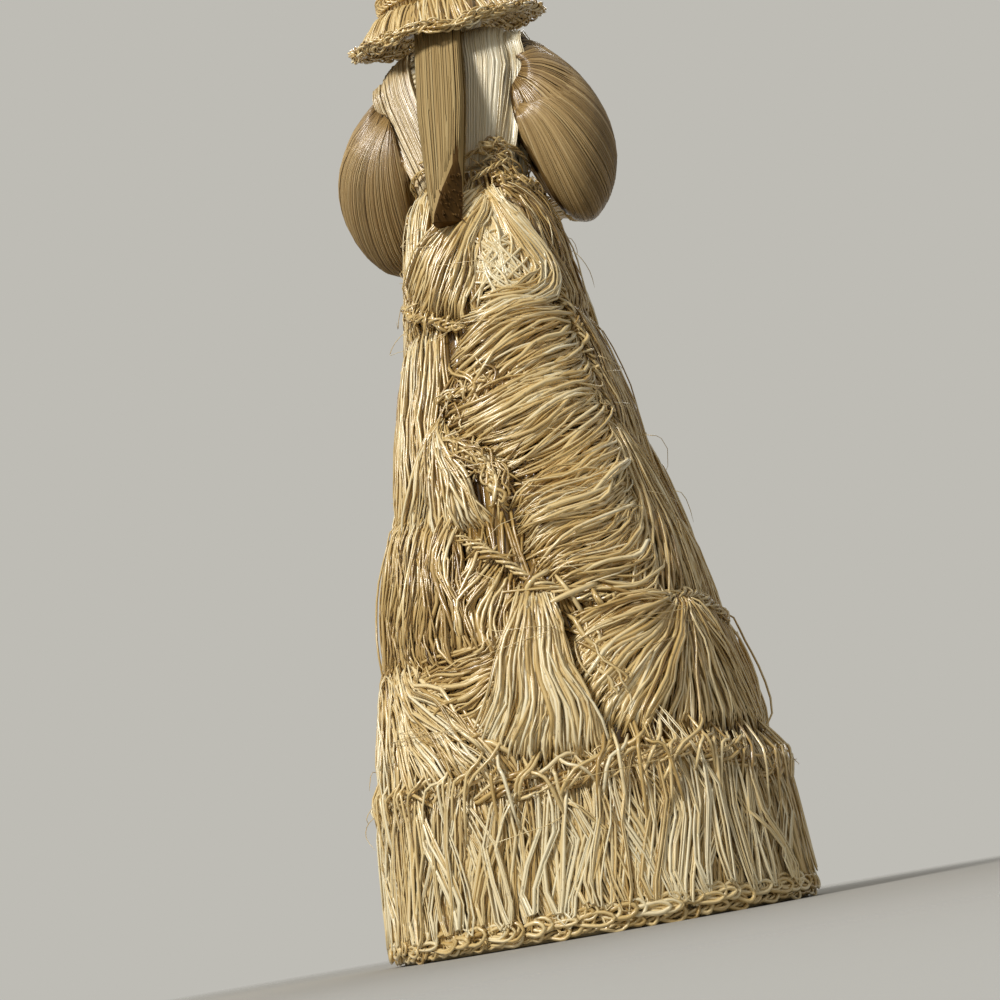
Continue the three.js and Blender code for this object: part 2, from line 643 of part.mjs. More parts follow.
// Head: the neck wrap, the round head on the stick, the hair over it and the knot at the nape.
function addHead(doll) {
  const neckBottom = TORSO_TOP + GAP;
  const neck = shell(
    [[SPINE_RADIUS + GAP, neckBottom], [SPINE_RADIUS + GAP, HEAD_Z]],
    [[NECK_RADIUS, neckBottom], [NECK_RADIUS, HEAD_Z]],
    SMALL_SIDES,
  ).subtract(headSolid(GAP));
  const lowest = neck.decompose().sort((a, b) => a.boundingBox().min[2] - b.boundingBox().min[2])[0];
  piece("neck_wrap", lowest, FIBRE, doll);

  const boreTop = HEAD_Z - HEAD_HALF_HEIGHT + SPINE_IN_HEAD;
  const bore = bar("z", SPINE_RADIUS + GAP, HEAD_Z - 2 * HEAD_HALF_HEIGHT, boreTop, [0, 0]);
  piece("head", headSolid(0).subtract(bore), STRAW_BARK, doll);

  const reach = 4 * HEAD_HALF_HEIGHT;
  const faceSide = block([reach, reach, reach], [0, HEAD_Y - HAIR_FRONT - reach / 2, HEAD_Z]);
  const neckSide = block([reach, reach, reach], [0, 0, HEAD_Z - HAIR_BELOW - reach / 2]);
  const neckRoom = bar("z", NECK_RADIUS + GAP, neckBottom, HEAD_Z, [0, 0]);
  const hair = headSolid(GAP + HAIR_THICKNESS)
    .subtract(headSolid(GAP))
    .subtract(faceSide)
    .subtract(neckSide)
    .subtract(neckRoom);
  piece("hair_cap", hair, GOLD_FIBRE, doll);

  const tailRoom = bar("x", TAIL_TOP_HALF_THICKNESS + GAP, TAIL_PIVOT.x - reach, TAIL_PIVOT.x + reach, [
    TAIL_PIVOT.y,
    TAIL_PIVOT.z,
  ]);
  const behindTail = block([reach, reach, reach], [TAIL_PIVOT.x, TAIL_PIVOT.y + reach / 2, TAIL_PIVOT.z]);
  const tailFront = TAIL_PIVOT.y - TAIL_TOP_HALF_THICKNESS - GAP;
  const belowTail = block(
    [reach, reach, reach],
    [TAIL_PIVOT.x, tailFront + reach / 2, TAIL_PIVOT.z - reach / 2],
  );
  const knotY = tailFront - NAPE_KNOT_RADII[1] / 2;
  const knot = ball(NAPE_KNOT_RADII, [TAIL_PIVOT.x, knotY, TAIL_PIVOT.z + GAP], SMALL_SIDES)
    .subtract(tailRoom)
    .subtract(behindTail)
    .subtract(belowTail)
    .subtract(neckRoom)
    .subtract(headSolid(2 * GAP + HAIR_THICKNESS));
  const largest = knot.decompose().sort((a, b) => b.volume() - a.volume())[0];
  piece("nape_knot", largest, GOLD_FIBRE, doll);
}

// Tail of hair: a thick flat strip, rounded where it hangs at the nape. One slanting cut takes its outer right
// corner away and leaves the whole end facing back and to her right.
function addTail(doll) {
  const end = new THREE.Vector3(TAIL_END_X, TAIL_TOP_BACK + TAIL_SPREAD_BACK, TAIL_PIVOT.z - TAIL_LENGTH);
  const at = (share, across, behind) => {
    const taper = Math.max(0, 1 - ((1 - share) * TAIL_LENGTH) / TAIL_TAPER_LENGTH);
    const width = lerp(TAIL_HALF_WIDTH, TAIL_END_HALF_WIDTH, taper);
    const thickness = lerp(TAIL_TOP_HALF_THICKNESS, TAIL_END_HALF_THICKNESS, share);
    const offset = new THREE.Vector3(across * width, behind * thickness, 0);
    return TAIL_PIVOT.clone().lerp(end, share).add(offset);
  };
  const steps = 8;
  const section = oval(1, 1, 0, SMALL_SIDES, 3.2);
  const rings = Array.from({ length: steps + 1 }, (_, i) => section.map(({ x, y }) => at(i / steps, x, y)));
  const rollHalf = 0.8 * TAIL_HALF_WIDTH;
  const rollPlace = [TAIL_PIVOT.y, TAIL_PIVOT.z];
  const roll = bar("x", TAIL_TOP_HALF_THICKNESS, TAIL_PIVOT.x - rollHalf, TAIL_PIVOT.x + rollHalf, rollPlace);
  const cutTop = at(1 - TAIL_CUT_LENGTH / TAIL_LENGTH, -1, 1);
  const cut = new THREE.Plane().setFromCoplanarPoints(cutTop, at(1, 1, 1), at(1, -1, -1));
  if (cut.distanceToPoint(at(1, -1, 1)) > 0) cut.negate();
  const tail = skinned(rings).add(roll).trimByPlane(cut.normal.toArray(), -cut.constant);
  piece("hair_tail", tail, STRAW_BARK, doll);
}

// How far the brim hangs at a bearing, in full at its outer edge.
function brimDroop(bearing) {
  return BRIM_DROOP + BRIM_BACK_DROOP * ((1 + Math.sin(bearing)) / 2) ** 2;
}

// Hat: crown, band, drooping brim and the braid along the brim's edge, all tilted back on the head.
function addHat(doll) {
  const hat = new THREE.Group();
  hat.position.set(0, HEAD_Y, HEAD_Z);
  hat.rotation.set(degrees(-HAT_TILT), degrees(-HAT_SIDE_TILT), 0);
  doll.add(hat);

  const outside = CROWN_INSIDE + HAT_THICKNESS;
  const arc = (radius) => {
    const start = Math.asin(-CROWN_BELOW / radius);
    const steps = 7;
    return Array.from({ length: steps + 1 }, (_, i) => {
      const angle = lerp(start, Math.PI / 2, i / steps);
      return [i === steps ? 0 : radius * Math.cos(angle), radius * Math.sin(angle)];
    });
  };
  const crownProfile = [...arc(outside), ...arc(CROWN_INSIDE).reverse(), arc(outside)[0]];
  piece("hat_crown", turned(crownProfile, BODY_SIDES), FIBRE, hat);

  const bandInside = outside + GAP;
  const band = shell(
    [[bandInside, 0], [bandInside, HAT_BAND_HEIGHT]],
    [
      [bandInside + HAT_BAND_THICKNESS / 2, 0],
      [bandInside + HAT_BAND_THICKNESS, HAT_BAND_HEIGHT / 2],
      [bandInside + HAT_BAND_THICKNESS / 2, HAT_BAND_HEIGHT],
    ],
    BODY_SIDES,
  );
  piece("hat_band", band, GOLD_FIBRE, hat);

  const brimTop = -CROWN_BELOW - GAP;
  const flatEnd = outside + BRIM_FLAT;
  const sides = 32;
  const sections = [];
  const edge = [];
  for (let i = 0; i < sides; i++) {
    const bearing = (2 * Math.PI * i) / sides;
    const at = (radius, z) => new THREE.Vector3(radius * Math.cos(bearing), radius * Math.sin(bearing), z);
    const droop = brimDroop(bearing);
    const half = (flatEnd + BRIM_RADIUS) / 2;
    const top = [[CROWN_INSIDE, 0], [flatEnd, 0], [half, droop * 0.3], [BRIM_RADIUS, droop]];
    const upper = top.map(([radius, drop]) => at(radius, brimTop - drop));
    const lower = top.map(([radius, drop]) => at(radius, brimTop - drop - HAT_THICKNESS)).reverse();
    sections.push([...upper, ...lower]);
    edge.push(at(BRIM_RADIUS + GAP + EDGE_BRAID_RADIUS, brimTop - droop - HAT_THICKNESS / 2));
  }
  piece("hat_brim", skinned(sections, true), FIBRE, hat);
  piece("hat_edge_braid", hoop(edge, EDGE_BRAID_RADIUS, TUBE_SIDES), FIBRE, hat);
}

const doll = new THREE.Group();
addSkirt(doll);
addTorso(doll);
addArm(doll, "left", 1);
addArm(doll, "right", -1);
addHead(doll);
addTail(doll);
addHat(doll);

export default doll;
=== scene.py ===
"""Looks of the fibre doll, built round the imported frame.

Lengths in the classes are millimetres and become metres when a mesh is made. The doll faces -Y, her left is
+X, and the side that shows most is her back. A bearing on the skirt is counted in degrees from the middle of
her back towards her right.
"""

from __future__ import annotations

import json
import logging
from dataclasses import dataclass, field
from enum import Enum
from math import asin, cos, exp, pi, radians, sin, sqrt, tau
from typing import Any, Iterator, Sequence

import bpy
import numpy as np
from mathutils import Matrix, Vector
from mathutils.bvhtree import BVHTree

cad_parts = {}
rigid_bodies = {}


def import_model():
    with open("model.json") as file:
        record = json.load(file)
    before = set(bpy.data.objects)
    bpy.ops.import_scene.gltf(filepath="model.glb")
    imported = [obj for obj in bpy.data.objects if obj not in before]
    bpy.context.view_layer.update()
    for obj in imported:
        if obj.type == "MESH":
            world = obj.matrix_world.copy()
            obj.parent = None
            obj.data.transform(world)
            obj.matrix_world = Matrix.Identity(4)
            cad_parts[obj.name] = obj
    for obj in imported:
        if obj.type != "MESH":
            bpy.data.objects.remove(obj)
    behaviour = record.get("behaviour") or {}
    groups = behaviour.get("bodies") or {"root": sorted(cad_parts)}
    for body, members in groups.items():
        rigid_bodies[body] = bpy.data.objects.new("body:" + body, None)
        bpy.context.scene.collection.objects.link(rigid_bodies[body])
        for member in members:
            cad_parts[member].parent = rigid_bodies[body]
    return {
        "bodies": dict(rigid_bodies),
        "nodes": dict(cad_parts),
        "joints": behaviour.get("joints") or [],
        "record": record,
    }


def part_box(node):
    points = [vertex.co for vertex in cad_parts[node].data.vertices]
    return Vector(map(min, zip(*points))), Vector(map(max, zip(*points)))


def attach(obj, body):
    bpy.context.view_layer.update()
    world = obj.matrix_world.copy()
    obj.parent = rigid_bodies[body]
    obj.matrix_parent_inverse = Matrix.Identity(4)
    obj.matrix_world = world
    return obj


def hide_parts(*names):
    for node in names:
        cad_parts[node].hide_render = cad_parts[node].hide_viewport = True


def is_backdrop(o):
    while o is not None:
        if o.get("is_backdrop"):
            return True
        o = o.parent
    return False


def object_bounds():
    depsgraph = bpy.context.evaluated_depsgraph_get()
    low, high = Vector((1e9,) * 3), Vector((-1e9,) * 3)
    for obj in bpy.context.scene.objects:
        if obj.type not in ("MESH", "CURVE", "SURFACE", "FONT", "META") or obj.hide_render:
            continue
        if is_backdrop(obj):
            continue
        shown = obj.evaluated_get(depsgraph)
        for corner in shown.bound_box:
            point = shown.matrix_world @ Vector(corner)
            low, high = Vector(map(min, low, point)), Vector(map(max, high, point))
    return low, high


MM = 0.001
SEED = 286
LOG = logging.getLogger("fibre_doll")

Array = np.ndarray
Pair = tuple[float, float]
Triple = tuple[float, float, float]
Shade = tuple[int, int, int]


# Shared geometry


def unit(vectors: Array) -> Array:
    """Returns the vectors scaled to a length of one."""
    return vectors / np.maximum(np.linalg.norm(vectors, axis=-1, keepdims=True), 1e-9)


def circle(count: int) -> tuple[Array, Array]:
    """Returns the angles of a round in a count of steps and the level directions at them."""
    turn = np.linspace(0, tau, count, endpoint=False)
    return turn, outward(turn)


def outward(turn: Array) -> Array:
    """Returns the level directions at angles."""
    return np.stack([np.cos(turn), np.sin(turn), 0 * turn], -1)


def on_sphere(rise: Array | float, turn: Array | float) -> Array:
    """Returns the directions at angles of rise and angles round."""
    parts = np.cos(rise) * np.cos(turn), np.cos(rise) * np.sin(turn), 0 * turn + np.sin(rise)
    return np.stack(parts, -1)


def smooth_run(stops: Array, steps: int) -> Array:
    """Runs a smooth line through a few stops.

    Args:
        stops: Stops of each line, (lines, stops, values).
        steps: Points that each line gets.

    Returns:
        The lines, (lines, steps, values).
    """
    stops = np.asarray(stops, float)
    before, after = 2 * stops[:, :1] - stops[:, 1:2], 2 * stops[:, -1:] - stops[:, -2:-1]
    padded = np.concatenate([before, stops, after], axis=1)
    place = np.linspace(0, stops.shape[1] - 1 - 1e-9, steps)
    first = place.astype(int)
    t = (place - first)[None, :, None]
    p0, p1, p2, p3 = (padded[:, first + k] for k in range(4))
    square, cube = 2 * p0 - 5 * p1 + 4 * p2 - p3, 3 * p1 - p0 - 3 * p2 + p3
    return 0.5 * (2 * p1 + (p2 - p0) * t + square * t**2 + cube * t**3)


def through(stops: Sequence[Sequence[Any]], steps: int) -> Array:
    """Returns smooth lines through stops whose parts are arrays, a value for each line, or single values."""
    return smooth_run(np.stack([np.stack(np.broadcast_arrays(*stop), -1) for stop in stops], 1), steps)


def edge_at(edge: Sequence[Pair], share: Array) -> Array:
    """Returns points at shares of a broken line of pairs, (shares, 2)."""
    stops = np.asarray(edge, float)
    place = np.clip(share, 0, 1) * (len(stops) - 1)
    return np.stack([np.interp(place, np.arange(len(stops)), stops[:, k]) for k in range(2)], axis=-1)


def side_and_upper(lines: Array, facing: Array, closed: bool) -> tuple[Array, Array]:
    """Works out the directions across lines.

    Args:
        lines: Points of the lines, (..., points, 3).
        facing: The way their upper sides face, in the same shape.
        closed: Whether each line joins up with its start.

    Returns:
        The directions to the side and to the upper side at each point.
    """
    if closed:
        along = np.roll(lines, -1, -2) - np.roll(lines, 1, -2)
    else:
        along = np.gradient(lines, axis=-2)
    along = unit(along)
    side = unit(np.cross(along, facing))
    return side, np.cross(side, along)


def distances(path: Array) -> Array:
    """Returns how far along a line each of its points lies."""
    hop = np.linalg.norm(np.diff(path[:, :3], axis=0), axis=1)
    return np.concatenate([[0], np.cumsum(hop)])


def resampled(path: Array, count: int) -> Array:
    """Returns a line's points again at even distances, (count, values)."""
    gone = distances(path)
    even = np.linspace(0, gone[-1], count)
    return np.stack([np.interp(even, gone, path[:, k]) for k in range(path.shape[1])], -1)


# Fibre strands


@dataclass(frozen=True)
class Layer:
    """How the strands of one layer of a piece are cut and laid."""

    count: int
    lift: float
    width: float
    depth: float = 0.6
    tint: float = 0.6
    spread: float = 0.14


@dataclass(frozen=True)
class Twist:
    """How a rope is laid: its plies' distance from the middle, a turn's length, the plies and their width."""

    radius: float
    pitch: float
    plies: int
    width: float


class FibreWork:
    """Gathers strands and makes them one mesh of thin four-sided ribbons."""

    SIDES = 4
    END_SHARE = 0.14
    FLATNESS = 0.6
    PLY_FLATNESS = 0.8
    PLY_TAPER = (0.6, 0.6)
    PLY_SPREAD = 0.14
    PLY_UNEVEN = 0.18
    BRAID_LEGS = 3
    GRAIN_SPAN = 1000

    def __init__(self, name: str, draw: np.random.Generator) -> None:
        """Starts an empty piece of work with its name and its random draws."""
        self.name = name
        self.draw = draw
        self.corners: list[Array] = []
        self.faces: list[Array] = []
        self.places: list[Array] = []
        self.tints: list[Array] = []
        self.total = 0

    def shade(
        self, tint: float | Array, spread: float, count: int | None = None, low: float = 0.0
    ) -> float | Array:
        """Draws tints round a middle one.

        Args:
            tint: The middle tint.
            spread: How far tints stray from it.
            count: How many are drawn; None draws a single one.
            low: The darkest tint that may come out.

        Returns:
            The tint or tints.
        """
        return np.clip(tint + spread * self.stray(count), low, 1)

    def around(self, count: int, loose: float) -> Iterator[float]:
        """Yields angles that go round once, each strayed from its even place."""
        for k in range(count):
            yield tau * (k + loose * self.stray()) / count

    def stray(self, size: int | tuple[int, ...] | None = None) -> float | Array:
        """Draws how far things stray from their places: normal values, one or an array."""
        return self.draw.standard_normal(size)

    def lay(
        self,
        runs: Array,
        facing: Array,
        width: float | Array,
        depth: float | Array,
        tint: float | Array,
        taper: Pair = (0.5, 0.5),
        closed: bool = False,
    ) -> None:
        """Adds one strand, or strands that all have the same number of points.

        Args:
            runs: Middle lines of the strands, (strands, points, 3), or of one strand, (points, 3).
            facing: The way the broad side faces, in a shape that fits runs.
            width: Broad width, one for all or one for each strand.
            depth: Thickness, one for all or one for each strand.
            tint: Share from the darkest to the palest shade, for all, for each strand or for each point.
            taper: Share of the width that is left at the start and at the end.
            closed: Whether each strand joins up with its start.
        """
        runs = np.asarray(runs, float)
        runs = runs[None] if runs.ndim == 2 else runs
        count, steps, _ = runs.shape
        side, upper = side_and_upper(runs, np.broadcast_to(facing, runs.shape), closed)
        share = np.linspace(0, 1, steps)
        swell = np.ones(steps)
        if not closed:
            rising = taper[0] + (1 - taper[0]) * share / self.END_SHARE
            falling = taper[1] + (1 - taper[1]) * (1 - share) / self.END_SHARE
            swell = np.minimum(1, np.minimum(rising, falling))
        half_width = 0.5 * np.broadcast_to(width, (count,))[:, None] * swell
        half_depth = 0.5 * np.broadcast_to(depth, (count,))[:, None] * swell
        turn = tau * np.arange(self.SIDES) / self.SIDES
        across = side[:, :, None] * (half_width[:, :, None] * np.cos(turn))[..., None]
        upward = upper[:, :, None] * (half_depth[:, :, None] * np.sin(turn))[..., None]
        self.corners.append((runs[:, :, None] + across + upward).reshape(-1, 3))
        self._join(runs, closed)
        tint = np.asarray(tint, float)
        tint = tint[:, None] if tint.ndim == 1 else tint
        self.tints.append(np.repeat(np.broadcast_to(tint, (count, steps)).reshape(-1), self.SIDES))

    def _join(self, runs: Array, closed: bool) -> None:
        """Adds the faces and the surface places of strands whose corners were just added.

        Args:
            runs: Middle lines of the strands, (strands, points, 3).
            closed: Whether each strand joins up with its start.
        """
        count, steps, _ = runs.shape
        sides = self.SIDES
        i = np.arange(steps if closed else steps - 1)
        j = np.arange(sides)
        here, there = i[:, None] * sides, ((i + 1) % steps)[:, None] * sides
        after = (j + 1) % sides
        quads = np.stack([here + j, there + j, there + after, here + after], -1).reshape(-1, 4)
        if not closed:
            last = (steps - 1) * sides
            quads = np.concatenate([quads, [[0, 1, 2, 3], [last + 3, last + 2, last + 1, last]]])
        starts = self.total + np.arange(count) * steps * sides
        self.faces.append((quads[None] + starts[:, None, None]).reshape(-1, 4))
        self.total += count * steps * sides
        hop = np.linalg.norm(np.diff(runs, axis=1), axis=-1)
        gone = np.concatenate([np.zeros((count, 1)), np.cumsum(hop, 1)], 1)
        gone = gone + self.GRAIN_SPAN * self.draw.random((count, 1))
        u0 = gone[:, i]
        u1 = gone[:, i] + np.linalg.norm(runs[:, (i + 1) % steps] - runs[:, i], axis=-1)
        u = np.stack([u0, u1, u1, u0], -1)[:, :, None, :].repeat(sides, 2)
        v = np.stack([j, j, j + 1, j + 1], -1) / sides
        places = np.stack([u, np.broadcast_to(v, u.shape)], -1).reshape(count, -1, 4, 2)
        if not closed:
            places = np.concatenate([places, np.zeros((count, 2, 4, 2))], 1)
        self.places.append(places.reshape(-1, 2))

    def mesh(self) -> bpy.types.Object:
        """Makes the gathered strands one smooth-shaded object at the origin and returns it."""
        corners = np.concatenate(self.corners) * MM
        faces = np.concatenate(self.faces)
        mesh = bpy.data.meshes.new(self.name)
        mesh.vertices.add(len(corners))
        mesh.vertices.foreach_set("co", corners.ravel())
        mesh.loops.add(faces.size)
        mesh.loops.foreach_set("vertex_index", faces.ravel().astype(np.int32))
        mesh.polygons.add(len(faces))
        mesh.polygons.foreach_set("loop_start", np.arange(0, faces.size, 4, dtype=np.int32))
        mesh.polygons.foreach_set("use_smooth", np.ones(len(faces), bool))
        mesh.update(calc_edges=True)
        mesh.uv_layers.new(name="UVMap").data.foreach_set("uv", np.concatenate(self.places).ravel())
        tint = mesh.attributes.new("tint", "FLOAT", "POINT")
        tint.data.foreach_set("value", np.concatenate(self.tints))
        made = bpy.data.objects.new(self.name, mesh)
        bpy.context.scene.collection.objects.link(made)
        return made

    def _turning(self, path: Array, pitch: float, closed: bool) -> Array:
        """Works out how a line is twisted.

        Args:
            path: The line, (points, 3).
            pitch: About the length of a turn.
            closed: Whether the line joins up with its start, which makes the turns a whole number.

        Returns:
            How many turns lie behind each point.
        """
        gone = distances(path)
        length = gone[-1] + (np.linalg.norm(path[0] - path[-1]) if closed else 0)
        turns = max(1, round(length / pitch)) if closed else length / pitch
        return turns * gone / length

    def rope(
        self, path: Array, facing: Array, lay: Twist, tint: float, closed: bool = False
    ) -> None:
        """Lays a twisted rope.

        Args:
            path: Middle line, (points, 3).
            facing: The way its upper side faces, (points, 3).
            lay: How the rope is laid.
            tint: Middle tint of the strands.
            closed: Whether the rope joins up with its start.
        """
        side, upper = side_and_upper(path, facing, closed)
        turns = self._turning(path, lay.pitch, closed)
        for ply in range(lay.plies):
            turn = tau * (turns + ply / lay.plies)
            reach = lay.radius * (1 + self.PLY_UNEVEN * self.stray())
            run = path + reach * (np.cos(turn)[:, None] * side + np.sin(turn)[:, None] * upper)
            shade = self.shade(tint, self.PLY_SPREAD)
            depth = self.PLY_FLATNESS * lay.width
            self.lay(run, unit(run - path), lay.width, depth, shade, self.PLY_TAPER, closed)

    def braid(
        self, path: Array, facing: Array, size: Pair, period: float, strand: float, tint: float
    ) -> None:
        """Lays a closed flat braid of three strands, each of two fibres side by side.

        Args:
            path: Middle line, (points, 3).
            facing: The way its face looks, (points, 3).
            size: Width and thickness of the braid.
            period: Length in which a strand swings over and back.
            strand: Width of each fibre.
            tint: Middle tint of the fibres.
        """
        side, upper = side_and_upper(path, facing, True)
        turns = self._turning(path, period, True)
        for leg in range(self.BRAID_LEGS):
            turn = tau * (turns + leg / self.BRAID_LEGS)
            swing = (0.5 * size[0] * np.sin(turn))[:, None] * side
            swing = swing + (0.5 * size[1] * np.sin(2 * turn))[:, None] * upper
            for beside in (-0.5, 0.5):
                lift = 0.2 * strand * self.stray()
                run = path + swing + beside * strand * 0.9 * side + lift * upper
                shade = self.shade(tint, self.PLY_SPREAD)
                self.lay(run, facing, strand, self.PLY_FLATNESS * strand, shade, self.PLY_TAPER, True)


# Finishes


def linear(shade: Shade) -> tuple[float, float, float, float]:
    """Returns a shade of 0 to 255 as a linear colour with full alpha."""
    parts = [value / 255 for value in shade]
    parts = [p / 12.92 if p <= 0.04045 else ((p + 0.055) / 1.055) ** 2.4 for p in parts]
    return (*parts, 1.0)


class Signal:
    """An output socket of a material, with arithmetic that adds Math nodes."""

    def __init__(self, bench: "Bench", socket: bpy.types.NodeSocket) -> None:
        """Holds the socket and the bench whose tree it is in."""
        self.bench = bench
        self.socket = socket

    def math(self, operation: str, first: Any, second: Any) -> "Signal":
        """Returns the outcome of one Math node."""
        return self.bench.node("ShaderNodeMath", {"operation": operation}, {0: first, 1: second})

    def __add__(self, other: Any) -> "Signal":
        """Returns the sum."""
        return self.math("ADD", self, other)

    def __sub__(self, other: Any) -> "Signal":
        """Returns the difference."""
        return self.math("SUBTRACT", self, other)

    def __mul__(self, other: Any) -> "Signal":
        """Returns the product."""
        return self.math("MULTIPLY", self, other)

    def __gt__(self, other: Any) -> "Signal":
        """Returns 1 where this is greater, and 0 elsewhere."""
        return self.math("GREATER_THAN", self, other)


class Bench:
    """The node tree of a material or of the world."""

    def __init__(self, owner: bpy.types.Material | bpy.types.World) -> None:
        """Empties the owner's tree."""
        self.owner = owner
        owner.use_nodes = True
        self.tree = owner.node_tree
        self.tree.nodes.clear()

    def node(
        self,
        kind: str,
        settings: dict[str, Any] | None = None,
        inputs: dict[Any, Any] | None = None,
        output: int | str = 0,
    ) -> Signal | None:
        """Adds a node.

        Args:
            kind: Blender's name of the node's type.
            settings: The node's own settings; stops are a colour ramp's places and colours.
            inputs: Values or signals of its input sockets.
            output: Which output is returned.

        Returns:
            The output's signal, or None for a node with no output.
        """
        made = self.tree.nodes.new(kind)
        for key, value in (settings or {}).items():
            if key == "stops":
                ramp = made.color_ramp
                ramp.elements[0].position, ramp.elements[0].color = value[0]
                ramp.elements[1].position, ramp.elements[1].color = value[-1]
                for place, colour in value[1:-1]:
                    ramp.elements.new(place).color = colour
            else:
                setattr(made, key, value)
        for key, value in (inputs or {}).items():
            if isinstance(value, Signal):
                self.tree.links.new(value.socket, made.inputs[key])
            else:
                made.inputs[key].default_value = value
        return Signal(self, made.outputs[output]) if len(made.outputs) else None

    def mixed(self, factor: Any, first: Any, second: Any) -> Signal:
        """Returns two colours mixed by a factor."""
        settings = {"data_type": "RGBA", "blend_type": "MIX"}
        return self.node("ShaderNodeMix", settings, {0: factor, 6: first, 7: second}, 2)

    def noise(self, places: Signal, scale: Triple, detail: float) -> Signal:
        """Returns a noise pattern on places that are first stretched along each axis."""
        drawn = self.node("ShaderNodeMapping", {}, {"Vector": places, "Scale": scale})
        return self.node("ShaderNodeTexNoise", {}, {"Vector": drawn, "Scale": 1.0, "Detail": detail})

    def bump(self, strength: float, distance: float, height: Signal) -> Signal:
        """Returns normals roughened by a height pattern."""
        inputs = {"Strength": strength, "Distance": distance, "Height": height}
        return self.node("ShaderNodeBump", {}, inputs)

    def surface(self, inputs: dict[str, Any]) -> bpy.types.Material:
        """Ends the tree in one Principled shader with these inputs and returns the material."""
        shader = self.node("ShaderNodeBsdfPrincipled", {}, inputs)
        self.node("ShaderNodeOutputMaterial", {}, {"Surface": shader})
        return self.owner


@dataclass(frozen=True)
class FibreFinish:
    """Glossy straw fibre, streaked along each strand."""

    name: str
    shades: tuple[Shade, ...]
    roughness: float = 0.36
    streaks: float = 0.3
    gloss: float = 0.25
    flecks: float = 0.35
    grain: float = 3.0
    relief: float = 0.35
    stretch: float = 0.09
    shine: float = 0.5
    patch_scale: Triple = (0.035, 0.4, 1.0)
    fleck_scale: Triple = (0.55, 2.0, 1.0)
    fleck_level: float = 0.77
    fleck_shade: Shade = (96, 66, 32)

    def material(self) -> bpy.types.Material:
        """Makes the material, which reads each strand's tint and UV places."""
        bench = Bench(bpy.data.materials.new(self.name))
        tint = bench.node("ShaderNodeAttribute", {"attribute_name": "tint"}, {}, 2)
        places = bench.node("ShaderNodeTexCoord", {}, {}, 2)
        streak = bench.noise(places, (self.stretch, self.grain, 1.0), 3.0)
        patch = bench.noise(places, self.patch_scale, 1.0)
        shade = tint + (streak - 0.5) * self.streaks + (patch - 0.5) * (0.8 * self.streaks)
        stops = [(k / (len(self.shades) - 1), linear(s)) for k, s in enumerate(self.shades)]
        colour = bench.node("ShaderNodeValToRGB", {"stops": stops}, {"Fac": shade})
        fleck = (bench.noise(places, self.fleck_scale, 0.0) > self.fleck_level) * self.flecks
        colour = bench.mixed(fleck, colour, linear(self.fleck_shade))
        bump = bench.bump(self.relief, 0.3 * MM, streak)
        return bench.surface(
            {
                "Base Color": colour,
                "Roughness": streak * 0.3 + (self.roughness - 0.15),
                "Specular IOR Level": self.shine,
                "Coat Weight": self.gloss,
                "Coat Roughness": 0.24,
                "Normal": bump,
            }
        )


@dataclass(frozen=True)
class CoarseFinish:
    """A matte finish mottled in two shades, for card, cloth, wood and wire."""

    name: str
    shade: Shade
    second: Shade
    roughness: float
    scale: Triple
    relief: float
    metallic: float = 0.0

    def material(self) -> bpy.types.Material:
        """Makes the material on Object coordinates."""
        bench = Bench(bpy.data.materials.new(self.name))
        places = bench.node("ShaderNodeTexCoord", {}, {}, 3)
        mottle = bench.noise(places, self.scale, 6.0)
        colour = bench.mixed(mottle, linear(self.shade), linear(self.second))
        bump = bench.bump(self.relief, 0.4 * MM, mottle)
        return bench.surface(
            {
                "Base Color": colour,
                "Roughness": mottle * 0.2 + (self.roughness - 0.1),
                "Metallic": self.metallic,
                "Normal": bump,
            }
        )


class Finish(Enum):
    """The finishes of the doll."""

    SKIRT = FibreFinish(
        "skirt_fibre",
        ((108, 79, 36), (169, 135, 73), (213, 182, 116), (243, 219, 162), (254, 242, 204)),
        roughness=0.24, streaks=0.5, gloss=0.6, grain=5.0, relief=0.5,
    )
    SLEEVE = FibreFinish(
        "sleeve_fibre",
        ((60, 42, 20), (138, 108, 62), (192, 162, 108), (236, 214, 164)), roughness=0.28,
        streaks=0.45, gloss=0.5, flecks=0.0, grain=5.0,
    )
    STRAP = FibreFinish(
        "bodice_fibre",
        ((140, 114, 72), (202, 178, 132), (236, 218, 174), (253, 244, 214)), roughness=0.26,
        streaks=0.5, gloss=0.5, flecks=0.0, grain=5.0,
    )
    TAIL = FibreFinish(
        "tail_straw",
        ((66, 42, 8), (134, 104, 58), (172, 147, 98), (200, 180, 132)), roughness=0.6, streaks=0.16,
        gloss=0.0, flecks=0.0, grain=6.0, relief=0.15, stretch=0.015, shine=0.12,
    )
    CARD = CoarseFinish("liner_card", (214, 198, 158), (188, 168, 124), 0.85, (160, 160, 60), 0.25)
    CLOTH = CoarseFinish("core_cloth", (240, 235, 217), (190, 180, 152), 0.85, (110, 110, 620), 1.0)
    WOOD = CoarseFinish("bare_wood", (196, 160, 106), (156, 118, 70), 0.7, (260, 260, 14), 0.3)
    WIRE = CoarseFinish("plain_wire", (150, 152, 154), (120, 120, 122), 0.4, (500, 500, 500), 0.1, 1.0)


class Palette:
    """Makes each finish's material once."""

    def __init__(self) -> None:
        """Starts with no material made."""
        self.made: dict[Finish, bpy.types.Material] = {}

    def get(self, finish: Finish) -> bpy.types.Material:
        """Returns the finish's material."""
        if finish not in self.made:
            self.made[finish] = finish.value.material()
        return self.made[finish]


